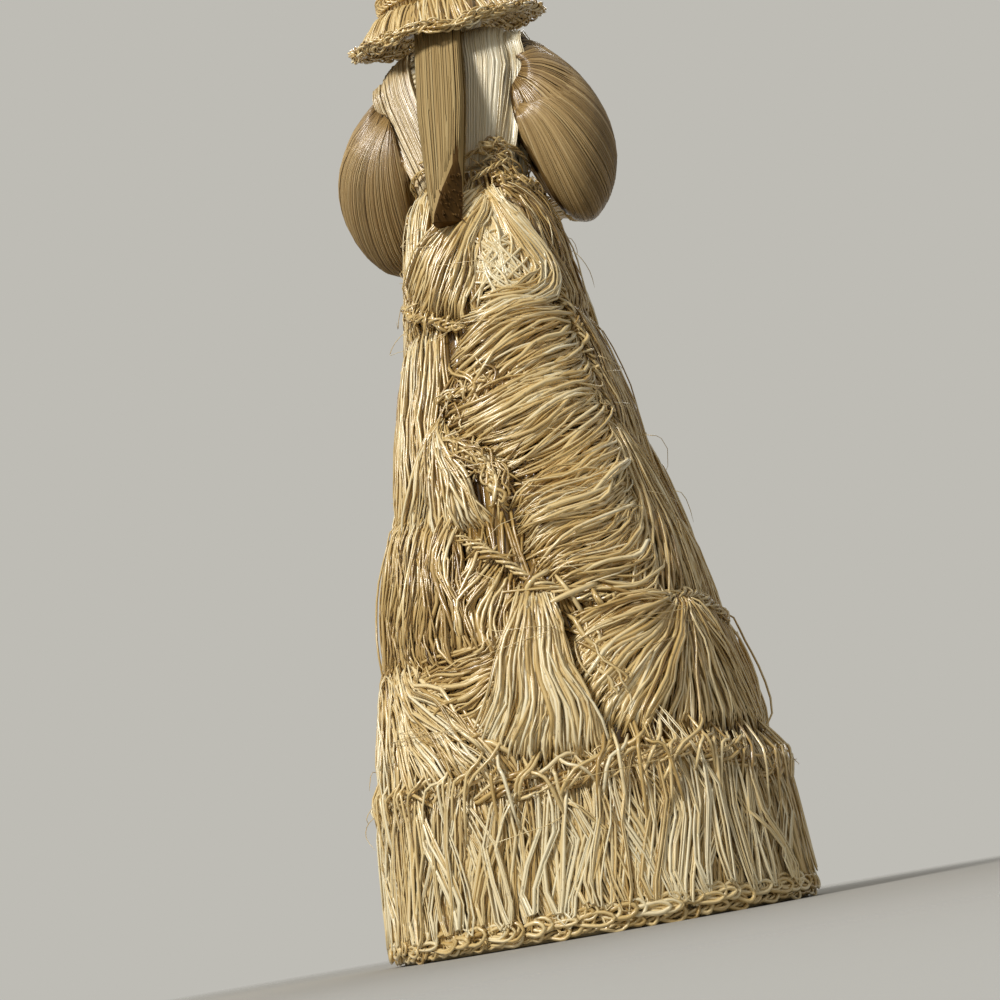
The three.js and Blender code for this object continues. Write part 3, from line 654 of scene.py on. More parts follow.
@dataclass
class Workshop:
    """What every sub-assembly shares: the frame, the materials and the random draws."""

    frame: dict[str, Any]
    palette: Palette = field(default_factory=Palette)

    def work(self, name: str, salt: int) -> FibreWork:
        """Starts a piece of fibre work with draws of its own."""
        return FibreWork(name, np.random.default_rng(SEED + salt))

    def dress(
        self, made: bpy.types.Object, finish: Finish, body: str, slot: str, *nodes: str
    ) -> None:
        """Finishes a piece and puts it in the frame.

        Args:
            made: The piece, at the origin.
            finish: Its finish.
            body: The body that it rides on.
            slot: The record's material slot; not used.
            nodes: The CAD nodes that it stands for.
        """
        made.data.materials.clear()
        made.data.materials.append(self.palette.get(finish))
        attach(made, body)
        if nodes:
            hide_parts(*nodes)
        LOG.info("%s: %d faces on %s", made.name, len(made.data.polygons), body)

    def keep(self, finish: Finish, *nodes: str) -> None:
        """Gives CAD nodes that stay in sight a finish."""
        for name in nodes:
            node = self.frame["nodes"][name]
            node.data.materials.clear()
            node.data.materials.append(self.palette.get(finish))
            LOG.info("%s: kept from the frame", name)


def paint_grain(thing: bpy.types.Object, tints: Sequence[float]) -> None:
    """Gives a solid the upright grain places and the tints that fibre finishes read.

    Args:
        thing: The solid.
        tints: A tint for each of its faces.
    """
    mesh = thing.data
    places, shades = [], []
    for face, tint in zip(mesh.polygons, tints):
        for corner in face.vertices:
            spot = mesh.vertices[corner].co / MM
            places += (spot.z, 0.25 * spot.x + 0.1 * spot.y)
            shades.append(tint)
    while mesh.uv_layers:
        mesh.uv_layers.remove(mesh.uv_layers[0])
    mesh.uv_layers.new(name="UVMap")
    mesh.attributes.new("tint", "FLOAT", "CORNER")
    mesh.uv_layers["UVMap"].data.foreach_set("uv", places)
    mesh.attributes["tint"].data.foreach_set("value", shades)


def deselect() -> None:
    """Leaves nothing selected."""
    for thing in bpy.context.selected_objects:
        thing.select_set(False)


def select_only(thing: bpy.types.Object) -> None:
    """Makes one object the selected and active one."""
    deselect()
    thing.select_set(True)
    bpy.context.view_layer.objects.active = thing


def apply_modifier(thing: bpy.types.Object, kind: str, **settings: Any) -> None:
    """Adds a modifier with these settings and applies it."""
    select_only(thing)
    added = thing.modifiers.new(kind.lower(), kind)
    for key, value in settings.items():
        setattr(added, key, value)
    bpy.ops.object.modifier_apply(modifier=added.name)


def solid_copy(node: bpy.types.Object, name: str, flat: float | None = None) -> bpy.types.Object:
    """Copies a CAD node with its corners joined.

    Args:
        node: The node.
        name: The copy's name.
        flat: Faces that meet at less than this many degrees become one; None leaves them.

    Returns:
        The copy, selected and active.
    """
    made = bpy.data.objects.new(name, node.data.copy())
    bpy.context.scene.collection.objects.link(made)
    select_only(made)
    bpy.ops.object.mode_set(mode="EDIT")
    bpy.ops.mesh.select_all(action="SELECT")
    bpy.ops.mesh.remove_doubles(threshold=0.00005)
    if flat is not None:
        bpy.ops.mesh.dissolve_limited(angle_limit=radians(flat))
    bpy.ops.object.mode_set(mode="OBJECT")
    return made


# Skirt


class ConeSkin:
    """Places on the skirt's cone, by bearing, height and lift off the cone."""

    def __init__(self, stations: Sequence[Pair]) -> None:
        """Takes the cone's heights and radii, from the floor up."""
        self.heights = [z for z, _ in stations]
        self.radii = [r for _, r in stations]

    def radius(self, z: Array) -> Array:
        """Returns the bare cone's radius at heights."""
        return np.interp(z, self.heights, self.radii)

    def place(self, run: Array) -> tuple[Array, Array]:
        """Turns runs of (bearing, height, lift) into points.

        Args:
            run: The runs, (..., 3).

        Returns:
            The points and the way the cone faces there.
        """
        bearing, z, lift = np.radians(run[..., 0]), run[..., 1], run[..., 2]
        radius = self.radius(z) + lift
        points = np.stack([-radius * np.sin(bearing), radius * np.cos(bearing), z], -1)
        slope = self.radius(z + 0.5) - self.radius(z - 0.5)
        return points, unit(np.stack([-np.sin(bearing), np.cos(bearing), -slope], -1))


@dataclass(frozen=True)
class Patch:
    """Strands laid side by side from one edge to another; edges are (bearing, height) on the skirt."""

    start: tuple[Pair, ...]
    end: tuple[Pair, ...]
    count: int
    lifts: Triple
    bow: Pair = (0.0, 0.0)
    tint: Pair = (0.6, 0.6)
    width: float = 0.82
    loose: float = 0.8
    layer: float = 0.7
    last_bow: Pair | None = None


class Tier(Enum):
    """The worked layers of the skirt, each named as its CAD node."""

    YOKE = "skirt_yoke"
    SWIRL = "swirl_tier"
    FAN = "fan_tier"


PATTERN_FIRST = -60.0
PATTERN_WIDTH = 155.0

PATTERN: dict[Tier, tuple[Patch, ...]] = {
    # The bundles that fall from the waist
    Tier.YOKE: (
        Patch(((-60, 211), (24, 211)), ((-62, 164), (-14, 166)), 60, (2.0, 2.4, 2.2), tint=(0.5, 0.65)),
        Patch(((42, 211), (96, 211)), ((64, 166), (96, 166)), 50, (2.0, 2.4, 2.2), tint=(0.4, 0.5)),
        Patch(((-44, 211), (-22, 212)), ((-60, 180), (-30, 178)), 30, (2.6, 3.4, 2.4), (0, 2), (0.9, 0.85)),
        Patch(((36, 206), (52, 209)), ((64, 184), (96, 176)), 36, (2.8, 3.6, 2.6), (7, 3), (0.4, 0.5)),
        Patch(
            ((29, 206), (35, 203)), ((-52, 179), (-36, 171), (-18, 165), (6, 161)), 84,
            (3.2, 5.0, 4.0), (-2, 1), (0.7, 0.55),
        ),
    ),
    # The combed leaves, which sweep down to the left, and the columns beside them
    Tier.SWIRL: (
        Patch(((-62, 170), (-18, 166)), ((-60, 106), (-20, 114)), 66, (2.2, 2.8, 2.4), tint=(0.8, 0.65)),
        Patch(((66, 168), (96, 168)), ((66, 118), (96, 108)), 50, (2.2, 2.8, 2.2), tint=(0.5, 0.55)),
        Patch(((62, 132), (70, 130)), ((52, 80), (96, 72)), 56, (3.4, 3.8, 3.4), (4, 2), (0.6, 0.7)),
        Patch(
            ((4, 163), (-15, 150), (-2, 141), (24, 138)),
            ((56, 169), (64, 166), (67, 158), (66, 148)), 84, (2.0, 4.6, 2.6), (1, -1),
            (0.62, 0.72), loose=1.3, last_bow=(7, -5),
        ),
        Patch(
            ((-14, 146), (60, 140)), ((-4, 134), (66, 130)), 50, (2.2, 3.4, 2.2), tint=(0.45, 0.6), loose=2.4
        ),
        Patch(
            ((-16, 134), (-6, 128), (6, 118), (13, 104), (26, 103)),
            ((56, 141), (64, 139), (68, 134), (68, 124), (66, 116)), 110, (2.4, 5.0, 3.0),
            (1, 1), (0.6, 0.75), loose=1.3, last_bow=(7, -5),
        ),
        Patch(
            ((13, 105), (15, 96), (19, 85), (30, 80)),
            ((54, 112), (62, 109), (65, 102), (63, 90)), 84, (3.0, 5.4, 3.4), (1, 2),
            (0.6, 0.75), loose=1.3, last_bow=(7, -4),
        ),
        Patch(
            ((-18, 134), (-14, 133)), ((-52, 106), (-20, 100), (4, 101)), 60,
            (5.0, 4.2, 3.2), tint=(0.65, 0.8),
        ),
        Patch(
            ((-14, 131), (4, 118)), ((-2, 122), (12, 106)), 34, (2.6, 4.2, 2.6), tint=(0.5, 0.6), loose=1.8
        ),
    ),
    # The fans between the leaves and the ridge
    Tier.FAN: (
        Patch(((62, 112), (96, 106)), ((40, 74), (96, 66)), 56, (3.0, 4.2, 3.4), tint=(0.6, 0.7)),
        Patch(((72, 80), (97, 76)), ((84, 46), (97, 42)), 44, (2.6, 3.6, 3.0), tint=(0.5, 0.62)),
        Patch(
            ((-52, 114), (-10, 106)), ((-62, 70), (-6, 66)), 110,
            (3.8, 5.4, 4.6), tint=(0.62, 0.32), loose=1.3,
        ),
        Patch(
            ((0, 98), (14, 82)), ((-16, 70), (6, 66)), 44, (3.6, 4.8, 4.0), (-2, -2), (0.6, 0.55), loose=1.3
        ),
        Patch(
            ((10, 78), (0, 52)), ((-36, 70), (-22, 46)), 64, (4.0, 4.6, 3.4), (0, -3), (0.6, 0.4), loose=1.4
        ),
        Patch(
            ((60, 75), (68, 76)), ((26, 70), (24, 60), (28, 46), (40, 42), (66, 41), (96, 41)),
            150, (6.0, 4.8, 4.0), (0, 2), (0.5, 0.72),
        ),
        Patch(
            ((13, 81), (21, 80)), ((-8, 44), (10, 40), (28, 38)), 110, (6.0, 5.4, 4.2), tint=(0.68, 0.88)
        ),
        Patch(
            ((-60, 75), (-36, 68)), ((-60, 34), (4, 36)), 104, (5.0, 5.4, 4.2), (5, 2), (0.7, 0.8), loose=1.2
        ),
        Patch(
            ((24, 76), (27, 60)), ((27, 58), (30, 46)), 14, (3.0, 4.6, 3.0), (6, 0), (0.7, 0.75), loose=1.6
        ),
    ),
}


@dataclass(frozen=True)
class Panel:
    """One width of the skirt's pattern, set at its place round the cone."""

    name: str
    first: float
    width: float
    mirrored: bool

    def bearing(self, value: Array) -> Array:
        """Returns where a bearing of the pattern lies in this panel."""
        share = (value - PATTERN_FIRST) / PATTERN_WIDTH
        return self.first + (1 - share if self.mirrored else share) * self.width

    @property
    def scale(self) -> float:
        """The panel's width as a share of the pattern's."""
        return self.width / PATTERN_WIDTH


@dataclass
class Skirt:
    """The long skirt: fibre layers worked over a hollow cone."""

    shop: Workshop
    hem_radius: float = 52.0
    flare_height: float = 32.0
    flare_radius: float = 49.5
    height: float = 212.0
    waist_radius: float = 16.5
    strand_steps: int = 10
    density: float = 1.45
    side_density: float = 1.1
    bunching: Pair = (0.35, 0.6)
    sway: Pair = (0.8, 1.2)
    short_share: float = 0.3
    short_by: float = 0.35
    waves: tuple[Pair, ...] = ((0.9, 0.55), (2.2, 0.3))
    drift_lengths: Triple = (34.0, 21.0, 13.0)
    drift_size: float = 0.028
    stray_share: float = 0.06
    stray_lift: float = 1.3
    tuck: Pair = (1.8, 0.05)
    least_lift: float = 0.6
    under_reach: float = 1.3
    under_lift: float = 0.7
    # How much darker the strands that lie under are drawn: painted shade in the gaps between the strands over
    # them.
    under_painted_shade: float = 0.2
    flounce_rows: tuple[Triple, ...] = ((200, 1.9, 0.55), (190, 2.7, 0.72), (160, 3.5, 0.85))
    rosette_loops: int = 54
    rosette_fan: int = 40
    rosette_net: int = 110
    braid_height: float = 3.7
    ridge_line: tuple[Pair, ...] = (
        (-60, 39.5), (-23, 37.5), (-5, 38.5), (13, 34.5), (32, 37.5), (55, 37.5), (76, 32.5),
        (95, 35.5), (150, 32.5), (205, 38.5), (250, 34.5), (300, 39.5),
    )
    panels: tuple[Panel, ...] = (
        Panel("back", PATTERN_FIRST, PATTERN_WIDTH, False),
        Panel("right", 95.0, 102.5, True),
        Panel("left", 197.5, 102.5, False),
    )

    def __post_init__(self) -> None:
        """Sets the cone."""
        flare = self.flare_height, self.flare_radius
        self.skin = ConeSkin(((0.0, self.hem_radius), flare, (self.height, self.waist_radius)))

    def runs(
        self, patch: Patch, panel: Panel, work: FibreWork, under: bool
    ) -> tuple[Array, Array, Array]:
        """Lays out one patch's strands in a panel, in loose bunches.

        Args:
            patch: The patch.
            panel: The panel that it lies in.
            work: The fibre work, whose draws it takes.
            under: Whether these are the darker strands that lie below and reach past the patch; their
                darkening is painted shade in the gaps between the strands over them.

        Returns:
            The strands' points, the way the cone faces there and the strands' tints.
        """
        draw = work.draw
        crowd = 1.0 if panel.scale == 1.0 else self.side_density * panel.scale
        count = max(4, round(self.density * patch.count * crowd))
        reach = self.under_reach if under else 1.0
        share = (np.arange(count) + 0.5 + 0.5 * work.stray(count)) / count
        ends = []
        for edge, bunch in zip((patch.start, patch.end), self.bunching):
            groups = max(2, round(count / (4 + 3 * draw.random())))
            middle = (np.floor(share * groups) + 0.5 + 0.25 * work.stray(count)) / groups
            ends.append(edge_at(edge, 0.5 + reach * (share + bunch * (middle - share) - 0.5)))
        start, end = ends
        bow = edge_at((patch.bow, patch.last_bow or patch.bow), share)
        middle = (start + end) / 2 + bow * (1 + 0.3 * work.stray((count, 1)))
        degree = np.degrees(1 / self.skin.radius(middle[:, 1]))
        for edge in (start, middle, end):
            edge[:, 0] += patch.loose * self.sway[0] * degree * work.stray(count)
            edge[:, 1] += patch.loose * self.sway[1] * work.stray(count)
        first = np.where(draw.random(count) < self.short_share, self.short_by * draw.random(count), 0.0)
        last = np.where(draw.random(count) < self.short_share, 1 - self.short_by * draw.random(count), 1.0)
        s = first[:, None] + (last - first)[:, None] * np.linspace(0, 1, self.strand_steps)
        shape = (1 - s) * (1 - 2 * s), 4 * s * (1 - s), s * (2 * s - 1)
        flat = sum(part[..., None] * stop[:, None] for part, stop in zip(shape, (start, middle, end)))
        heading = end - start
        heading[:, 0] /= degree
        across = unit(np.stack([-heading[:, 1], heading[:, 0]], -1))
        wave = np.zeros((count, self.strand_steps))
        for cycles, size in self.waves:
            beat = cycles * (0.6 + 0.8 * draw.random((count, 1)))
            height = size * work.stray((count, 1))
            wave += height * np.sin(tau * (s * beat + draw.random((count, 1))))
        wave += self.drift(flat, draw)
        flat[:, :, 0] += patch.loose * wave * across[:, :1] * degree[:, None]
        flat[:, :, 1] += patch.loose * wave * across[:, 1:]
        lift = sum(part * size for part, size in zip(shape, patch.lifts))
        stray = np.where(draw.random((count, 1)) < self.stray_share, self.stray_lift, 0.0)
        rise = patch.layer * work.stray((count, 1)) + stray
        lift = lift * (self.under_lift if under else 1.0) + rise * np.sin(pi * s) ** 0.5
        depth, length = self.tuck
        tucked = depth * (np.exp(-s / length) + np.exp(-(1 - s) / length))
        lift = lift + 0.35 * np.roll(wave, count // 2, 0) - tucked
        flat[:, :, 0] = panel.bearing(flat[:, :, 0])
        lift = np.maximum(lift, self.least_lift)
        points, facing = self.skin.place(np.concatenate([flat, lift[..., None]], -1))
        tint = patch.tint[0] + (patch.tint[1] - patch.tint[0]) * s + 0.15 * work.stray((count, 1))
        # Strands that lie under are darkened: painted shade for the gaps between the strands over them.
        return points, facing, np.clip(tint - (self.under_painted_shade if under else 0.0), 0.02, 1)

    def drift(self, flat: Array, draw: np.random.Generator) -> Array:
        """Works out a sideways bend that neighbouring strands share.

        Args:
            flat: Places of the strands, in (bearing, height).
            draw: Random draws.

        Returns:
            The bend at each place.
        """
        across = np.radians(flat[..., 0]) * self.skin.radius(flat[..., 1])
        bend = np.zeros(across.shape)
        for length in self.drift_lengths:
            turn, phase = pi * draw.random(), tau * draw.random()
            ripple = cos(turn) * across + sin(turn) * flat[..., 1]
            bend += self.drift_size * length * np.sin(tau * ripple / length + phase)
        return bend

    def lay_backing(self, work: FibreWork, bottom: float, top: float, count: int, tint: float) -> None:
        """Lays the broad upright strands that close a tier from behind, tinted near the darkest brown as
        painted shade for the gaps, and a thin mat of strays over them.

        Args:
            work: The tier's fibre work.
            bottom: The tier's lower height.
            top: The tier's upper height.
            count: How many strays go round.
            tint: The strays' middle tint.
        """
        draw = work.draw
        foot = float(self.skin.radius(np.array(bottom)))
        s = np.linspace(0, 1, 8)
        # The broad strands' tint of 0.06 is painted shade: it shows as dark gaps between the strands laid
        # over them.
        for amount, lift, width, shade in ((110, 0.8, 14.0 * foot / 110, 0.06), (count, 1.5, 0.95, tint)):
            bearing = 360 * (np.arange(amount) + draw.random(amount)) / amount
            thin = width < 1
            low = bottom + (top - bottom) * (0.6 * draw.random(amount) if thin else np.zeros(amount))
            high = np.minimum(top, low + (30 + 25 * draw.random(amount) if thin else top - bottom))
            lean = (9.0 if thin else 0.5) * work.stray(amount)
            wave = (1.2 if thin else 0.0) * np.sin(6 * s + 6 * draw.random((amount, 1)))
            place = bearing[:, None] + lean[:, None] * (s - 0.5) + wave
            z = low[:, None] + (high - low)[:, None] * s
            off = lift + 0.4 * draw.random((amount, 1)) + 0 * s
            points, facing = self.skin.place(np.stack([place, z, off], -1))
            work.lay(points, facing, width, work.FLATNESS, work.shade(shade, 0.1, amount), (0.8, 0.8))

    def build_tier(self, tier: Tier, span: Pair, salt: int) -> None:
        """Builds one tier all round the cone: its backing and a piece for each panel.

        Args:
            tier: Which tier.
            span: Its lower and upper heights.
            salt: Sets its random draws apart.
        """
        backing = self.shop.work(tier.value + "_backing", salt)
        strays = round(4.2 * float(self.skin.radius(np.array(span[0]))))
        self.lay_backing(backing, *span, strays, 0.36)
        self.shop.dress(backing.mesh(), Finish.SKIRT, "figure", "fibre", tier.value)
        for k, panel in enumerate(self.panels):
            work = self.shop.work(f"{tier.value}_{panel.name}_strands", salt + 100 * (k + 1))
            for under in (True, False):
                for patch in PATTERN[tier]:
                    points, facing, tint = self.runs(patch, panel, work, under)
                    size = patch.width * np.exp(0.36 * work.stray(len(points)) - 0.08)
                    size = np.clip(size, 0.35, 1.6)
                    work.lay(points, facing, size, work.FLATNESS * size, tint)
            self.lay_stitching(work, tier, panel)
            self.shop.dress(work.mesh(), Finish.SKIRT, "figure", "fibre", tier.value)

    def lay_stops(
        self,
        work: FibreWork,
        panel: Panel,
        stops: Array,
        lifts: Sequence[float],
        steps: int,
        size: Pair,
        tint: float,
    ) -> None:
        """Lays one strand smoothly through stops of the pattern.

        Args:
            work: The fibre work that gets it.
            panel: The panel that the stops lie in.
            stops: The stops, (stops, 2), in (bearing, height).
            lifts: Their heights off the cone.
            steps: Points of the strand.
            size: Its width and depth.
            tint: Its tint.
        """
        run = np.stack([panel.bearing(stops[:, 0]), stops[:, 1], lifts], -1)
        points, facing = self.skin.place(smooth_run(run[None], steps))
        work.lay(points, facing, *size, tint)

    def lay_chain(
        self, work: FibreWork, panel: Panel, edge: Sequence[Pair], lift: float, tint: float
    ) -> None:
        """Lays a loose twisted chain, with short strands caught in it, along a line of the pattern.

        Args:
            work: The fibre work that gets it.
            panel: The panel that the line lies in.
            edge: The line, in (bearing, height).
            lift: Its height off the cone.
            tint: Its middle tint.
        """
        draw = work.draw
        count = 60
        spot = edge_at(edge, np.linspace(0, 1, count))
        sway = np.sin(np.linspace(0, 9, count) + 6 * draw.random(2)[:, None]).T
        spot = spot + [1.5, 1.0] * sway
        run = np.stack([panel.bearing(spot[:, 0]), spot[:, 1], np.full(count, lift)], -1)
        path, facing = self.skin.place(run)
        work.rope(path, facing, Twist(0.9, 11.0, 4, 1.0), tint)
        for _ in range(round(56 * min(1.0, 1.15 * panel.scale))):
            start, way = spot[draw.integers(2, count - 2)], draw.normal(0, 1, 2) * [5.0, 2.4]
            ends = np.stack([start - way, start + [1.5, 1.0] * work.stray(2), start + way])
            rise = lift + 0.6 + 0.5 * work.stray()
            size = 0.8 * exp(0.3 * work.stray())
            lifts = [rise - 1.6, rise, rise - 1.6]
            self.lay_stops(work, panel, ends, lifts, 8, (size, work.FLATNESS * size), work.shade(tint, 0.16))

    def lay_stitching(self, work: FibreWork, tier: Tier, panel: Panel) -> None:
        """Lays the rows of stitches that hold a tier's bundles."""
        lines = {
            Tier.FAN: (
                (((-6, 100), (4, 93), (15, 83), (28, 78), (56, 76), (76, 76), (96, 71)), 4.6, 0.62),
                (((-60, 74), (-34, 67), (-10, 64)), 4.2, 0.5),
            ),
            Tier.SWIRL: (
                (((-14, 142), (20, 139), (62, 136)), 3.6, 0.6),
                (((-14, 130), (2, 120), (12, 106)), 3.6, 0.6),
                (((60, 172), (70, 150), (68, 112), (60, 84)), 3.2, 0.5),
            ),
            Tier.YOKE: (
                (((-54, 178), (-30, 169), (2, 160)), 4.0, 0.5), (((36, 208), (96, 208)), 3.0, 0.45),
            ),
        }
        for edge, lift, tint in lines[tier]:
            self.lay_chain(work, panel, edge, lift, tint)
        if tier is Tier.YOKE:
            self.lay_rosette(work, panel)

    def lay_rosette(self, work: FibreWork, panel: Panel) -> None:
        """Lays the drop-shaped loops that hang from the waist knot, and the strands crossed inside them."""
        draw = work.draw
        drop = np.array([(34, 204), (47, 194), (60, 182), (63, 173), (52, 166), (28, 162), (4, 161)], float)
        heart = np.array([34.0, 178.0])
        inner = 0.85, 0.7
        for k in range(self.rosette_loops):
            q = 0.4 + 0.65 * (k + draw.random()) / self.rosette_loops
            stops = heart + q * (drop - heart) + [1.6, 0.9] * work.stray((7, 2))
            stops[0] = (34 + 2.5 * work.stray(), 203 + work.stray())
            lift = 3.0 + 1.6 * q + 0.5 * work.stray() - np.array([0.4, 0, 0, 0, 0, 0, 1.0])
            size = 0.9 * (0.8 + 0.4 * draw.random()), 0.75
            self.lay_stops(work, panel, stops, lift, 15, size, work.shade(0.78, 0.14))
        for k in range(self.rosette_fan):
            foot = 12 + 36 * (k + 0.5) / self.rosette_fan
            stops = np.array([(34.0, 203.0), (30.0, 193.0), (foot, 178.0)])
            stops[1:] += [2.0, 2.5] * work.stray((2, 2))
            stops[1, 0] += 0.4 * (stops[2, 0] - 30)
            self.lay_stops(work, panel, stops, [3.0, 3.4, 3.0], 8, inner, work.shade(0.8, 0.12))
        for k in range(self.rosette_net):
            spot = np.array([25.0, 180.0]) + [14.0, 10.0] * (draw.random(2) + draw.random(2) - 1)
            turn = draw.normal(0.9, 0.7) if k % 2 else draw.normal(2.2, 0.5)
            reach = (0.6 + 0.6 * draw.random()) * np.array([15 * cos(turn), 9 * sin(turn)])
            stops = np.stack([spot - reach, spot + [3, 1.5] * work.stray(2), spot + reach])
            high = 3.0 + 0.9 * draw.random()
            stops[:, 1] = np.clip(stops[:, 1], 165, 201)
            self.lay_stops(work, panel, stops, [high, high + 0.8, high], 7, inner, work.shade(0.86, 0.1))

    def build_flounce(self) -> None:
        """Builds the looped strands between the ridge and the hem."""
        work = self.shop.work("hem_flounce_loops", 11)
        self.lay_backing(work, 3, 40, 340, 0.46)
        draw = work.draw
        for row, (count, lift, tint) in enumerate(self.flounce_rows):
            groups = round(count / 3.2)
            bearing = (np.arange(count) + 0.7 * work.stray(count)) / count
            bearing = 360 * (bearing + 0.5 * ((np.floor(bearing * groups) + 0.5) / groups - bearing))
            lean = 1.6 + 6.0 * work.stray(count)
            bow = 3.2 * work.stray(count)
            spread = 1.0 + 1.5 * draw.random(count)
            foot = 1.4 + 0.9 * row + 2.6 * draw.random(count)
            knee = foot + 5 + 4 * draw.random(count)
            crown = self.ridge_level(bearing) + 2.0 * work.stray(count)
            crown = crown + np.where(draw.random(count) < 0.3, 8 * draw.random(count), 0.0)
            cross = spread * np.where(draw.random(count) < 0.4, -0.8, 1.0)
            lay = lift + 0.6 * work.stray(count)
            half = (crown + knee) / 2
            stops = [
                (bearing + lean + cross, crown, lay + 0.8),
                (bearing + 0.5 * lean + bow + spread, half, lay + 0.6),
                (bearing + spread, knee, lay),
                (bearing, foot, lay - 0.2),
                (bearing - spread, knee + 2 * work.stray(count), lay),
                (bearing + 0.5 * lean + bow - spread, half, lay + 0.2),
                (bearing + lean - cross, crown + 1.5, lay),
            ]
            run = through(stops, 12)
            shade = tint + 0.14 * work.stray(count)
            for shift in (-0.45, 0.0, 0.45):
                fray = work.stray((2, count, 1, 3)) * [0.45, 0.8, 0.15]
                s = np.linspace(0, 1, 12)[None, :, None]
                fibre = run + [shift, 0.0, 0.0] + fray[0] * (1 - s) + fray[1] * s
                points, facing = self.skin.place(np.maximum(fibre, [-1e3, 1.2, 0.8]))
                size = np.clip(0.55 * np.exp(0.3 * work.stray(count)), 0.3, 1.2)
                work.lay(points, facing, size, work.FLATNESS * size, work.shade(shade, 0.09, count))
        self.shop.dress(work.mesh(), Finish.SKIRT, "figure", "pale_fibre", "hem_flounce")

    def ridge_level(self, bearing: Array) -> Array:
        """Returns the height at which the ridge wanders round, by bearing."""
        return np.interp(np.mod(bearing + 60, 360) - 60, *zip(*self.ridge_line))

    def build_ridge(self) -> None:
        """Builds the loose roll of strands above the flounce, with stitches slung over it."""
        work = self.shop.work("hem_ridge_roll", 12)
        draw = work.draw
        count = 150
        bearing = 360 * (np.arange(count) + draw.random(count)) / count
        length = 9 + 16 * draw.random(count)
        s = np.linspace(0, 1, 11)
        place = bearing[:, None] + length[:, None] * s
        twist = tau * (s * length[:, None] / 21 + draw.random((count, 1)))
        reach = 1.0 + 1.6 * draw.random((count, 1))
        z = self.ridge_level(place) + reach * np.sin(twist) + 1.2 * work.stray((count, 1))
        lift = 3.7 + 0.8 * reach * np.cos(twist)
        points, facing = self.skin.place(np.stack([place, z, lift], -1))
        size = np.clip(1.0 + 0.2 * work.stray(count), 0.6, 1.4)
        work.lay(points, facing, size, 0.75 * size, work.shade(0.6, 0.15, count))
        count = 110
        bearing = 360 * (np.arange(count) + draw.random(count)) / count
        lean = 3.0 + 5.0 * work.stray(count)
        rise, fall = 3 + 8 * draw.random(count), 4 + 14 * draw.random(count)
        middle = self.ridge_level(bearing)
        stops = [
            (bearing + lean, middle + rise, 3.0),
            (bearing + 0.6 * lean, middle + 0.4 * rise, 5.6),
            (bearing, middle, 6.3),
            (bearing - 0.5 * lean, middle - fall, 3.4),
        ]
        run = through(stops, 9) + np.array([0, 0, 0.4]) * work.stray((count, 1, 1))
        points, facing = self.skin.place(run)
        work.lay(points, facing, 0.95, 0.7, work.shade(0.68, 0.15, count))
        self.shop.dress(work.mesh(), Finish.SKIRT, "figure", "fibre", "hem_ridge")

    def stitches(
        self, work: FibreWork, count: int, level: float, lift: float, length: float, tint: float
    ) -> None:
        """Lays a chain of drop-shaped loops round the cone.

        Args:
            work: The fibre work that gets them.
            count: How many go round.
            level: Their middle height.
            lift: How far they stand off the cone.
            length: Their length along the chain, in stitches.
            tint: Their middle tint.
        """
        step = 360 / count
        first = step * (np.arange(count) + 0.22 * work.stray(count))
        half = 1.5 * (1 + 0.25 * work.stray(count))
        tilt = 0.5 * work.stray(count)
        long = step * length * (1 + 0.2 * work.stray(count))
        drop = (
            (0.0, 0.2, -0.8), (0.35, 0.7, 0.2), (0.75, 1.0, 0.6), (1.0, 0.0, 0.9),
            (0.75, -1.0, 0.6), (0.35, -0.7, 0.2), (0.02, -0.2, -0.8),
        )
        stops = [(first + a * long, level + b * half + a * tilt, lift + c * 0.9) for a, b, c in drop]
        points, facing = self.skin.place(through(stops, 15))
        size = np.clip(1.0 + 0.15 * work.stray(count), 0.6, 1.4)
        work.lay(points, facing, size, 0.85 * size, work.shade(tint, 0.13, count), (0.7, 0.7))

    def build_hem_braid(self) -> None:
        """Builds the crocheted chains along the hem."""
        work = self.shop.work("hem_braid_chain", 13)
        self.stitches(work, 88, self.braid_height - 1.5, 1.6, 1.7, 0.6)
        self.stitches(work, 80, self.braid_height + 0.8, 2.4, 1.8, 0.72)
        self.stitches(work, 62, self.braid_height - 0.2, 2.8, 1.5, 0.68)
        bearing = np.linspace(0, 360, 400, endpoint=False)
        path, facing = self.skin.place(np.stack(np.broadcast_arrays(bearing, 1.3, 1.3), -1))
        work.rope(path, facing, Twist(0.5, 9.0, 3, 1.0), 0.6, True)
        self.shop.dress(work.mesh(), Finish.SKIRT, "figure", "fibre", "hem_braid")

    def build_strays(self) -> None:
        """Builds the thin loose hairs that stand off the skirt."""
        work = self.shop.work("stray_hairs", 14)
        count = 70
        draw = work.draw
        bearing, z = 360 * draw.random(count), 20 + 180 * draw.random(count)
        stops = []
        for k, lift in enumerate((3.0, 6.0, 7.5, 7.0)):
            aside = bearing + k * 6 * work.stray(count)
            below = z - k * (1.5 + 2 * draw.random(count))
            stops.append((aside, below, lift + 0.6 * work.stray(count)))
        points, facing = self.skin.place(through(stops, 9))
        work.lay(points, facing, 0.2, 0.2, 0.6 + 0.2 * draw.random(count), (1, 0.3))
        self.shop.dress(work.mesh(), Finish.SKIRT, "figure", "fibre")

    def build(self) -> None:
        """Builds the whole skirt."""
        self.shop.keep(Finish.CARD, "skirt_form")
        self.shop.keep(Finish.WOOD, "waist_plug", "spine_stick")
        self.build_hem_braid()
        self.build_flounce()
        self.build_ridge()
        self.build_tier(Tier.FAN, (36, 104), 15)
        self.build_tier(Tier.SWIRL, (98, 170), 16)
        self.build_tier(Tier.YOKE, (164, 212), 17)
        self.build_strays()


# Torso and bodice


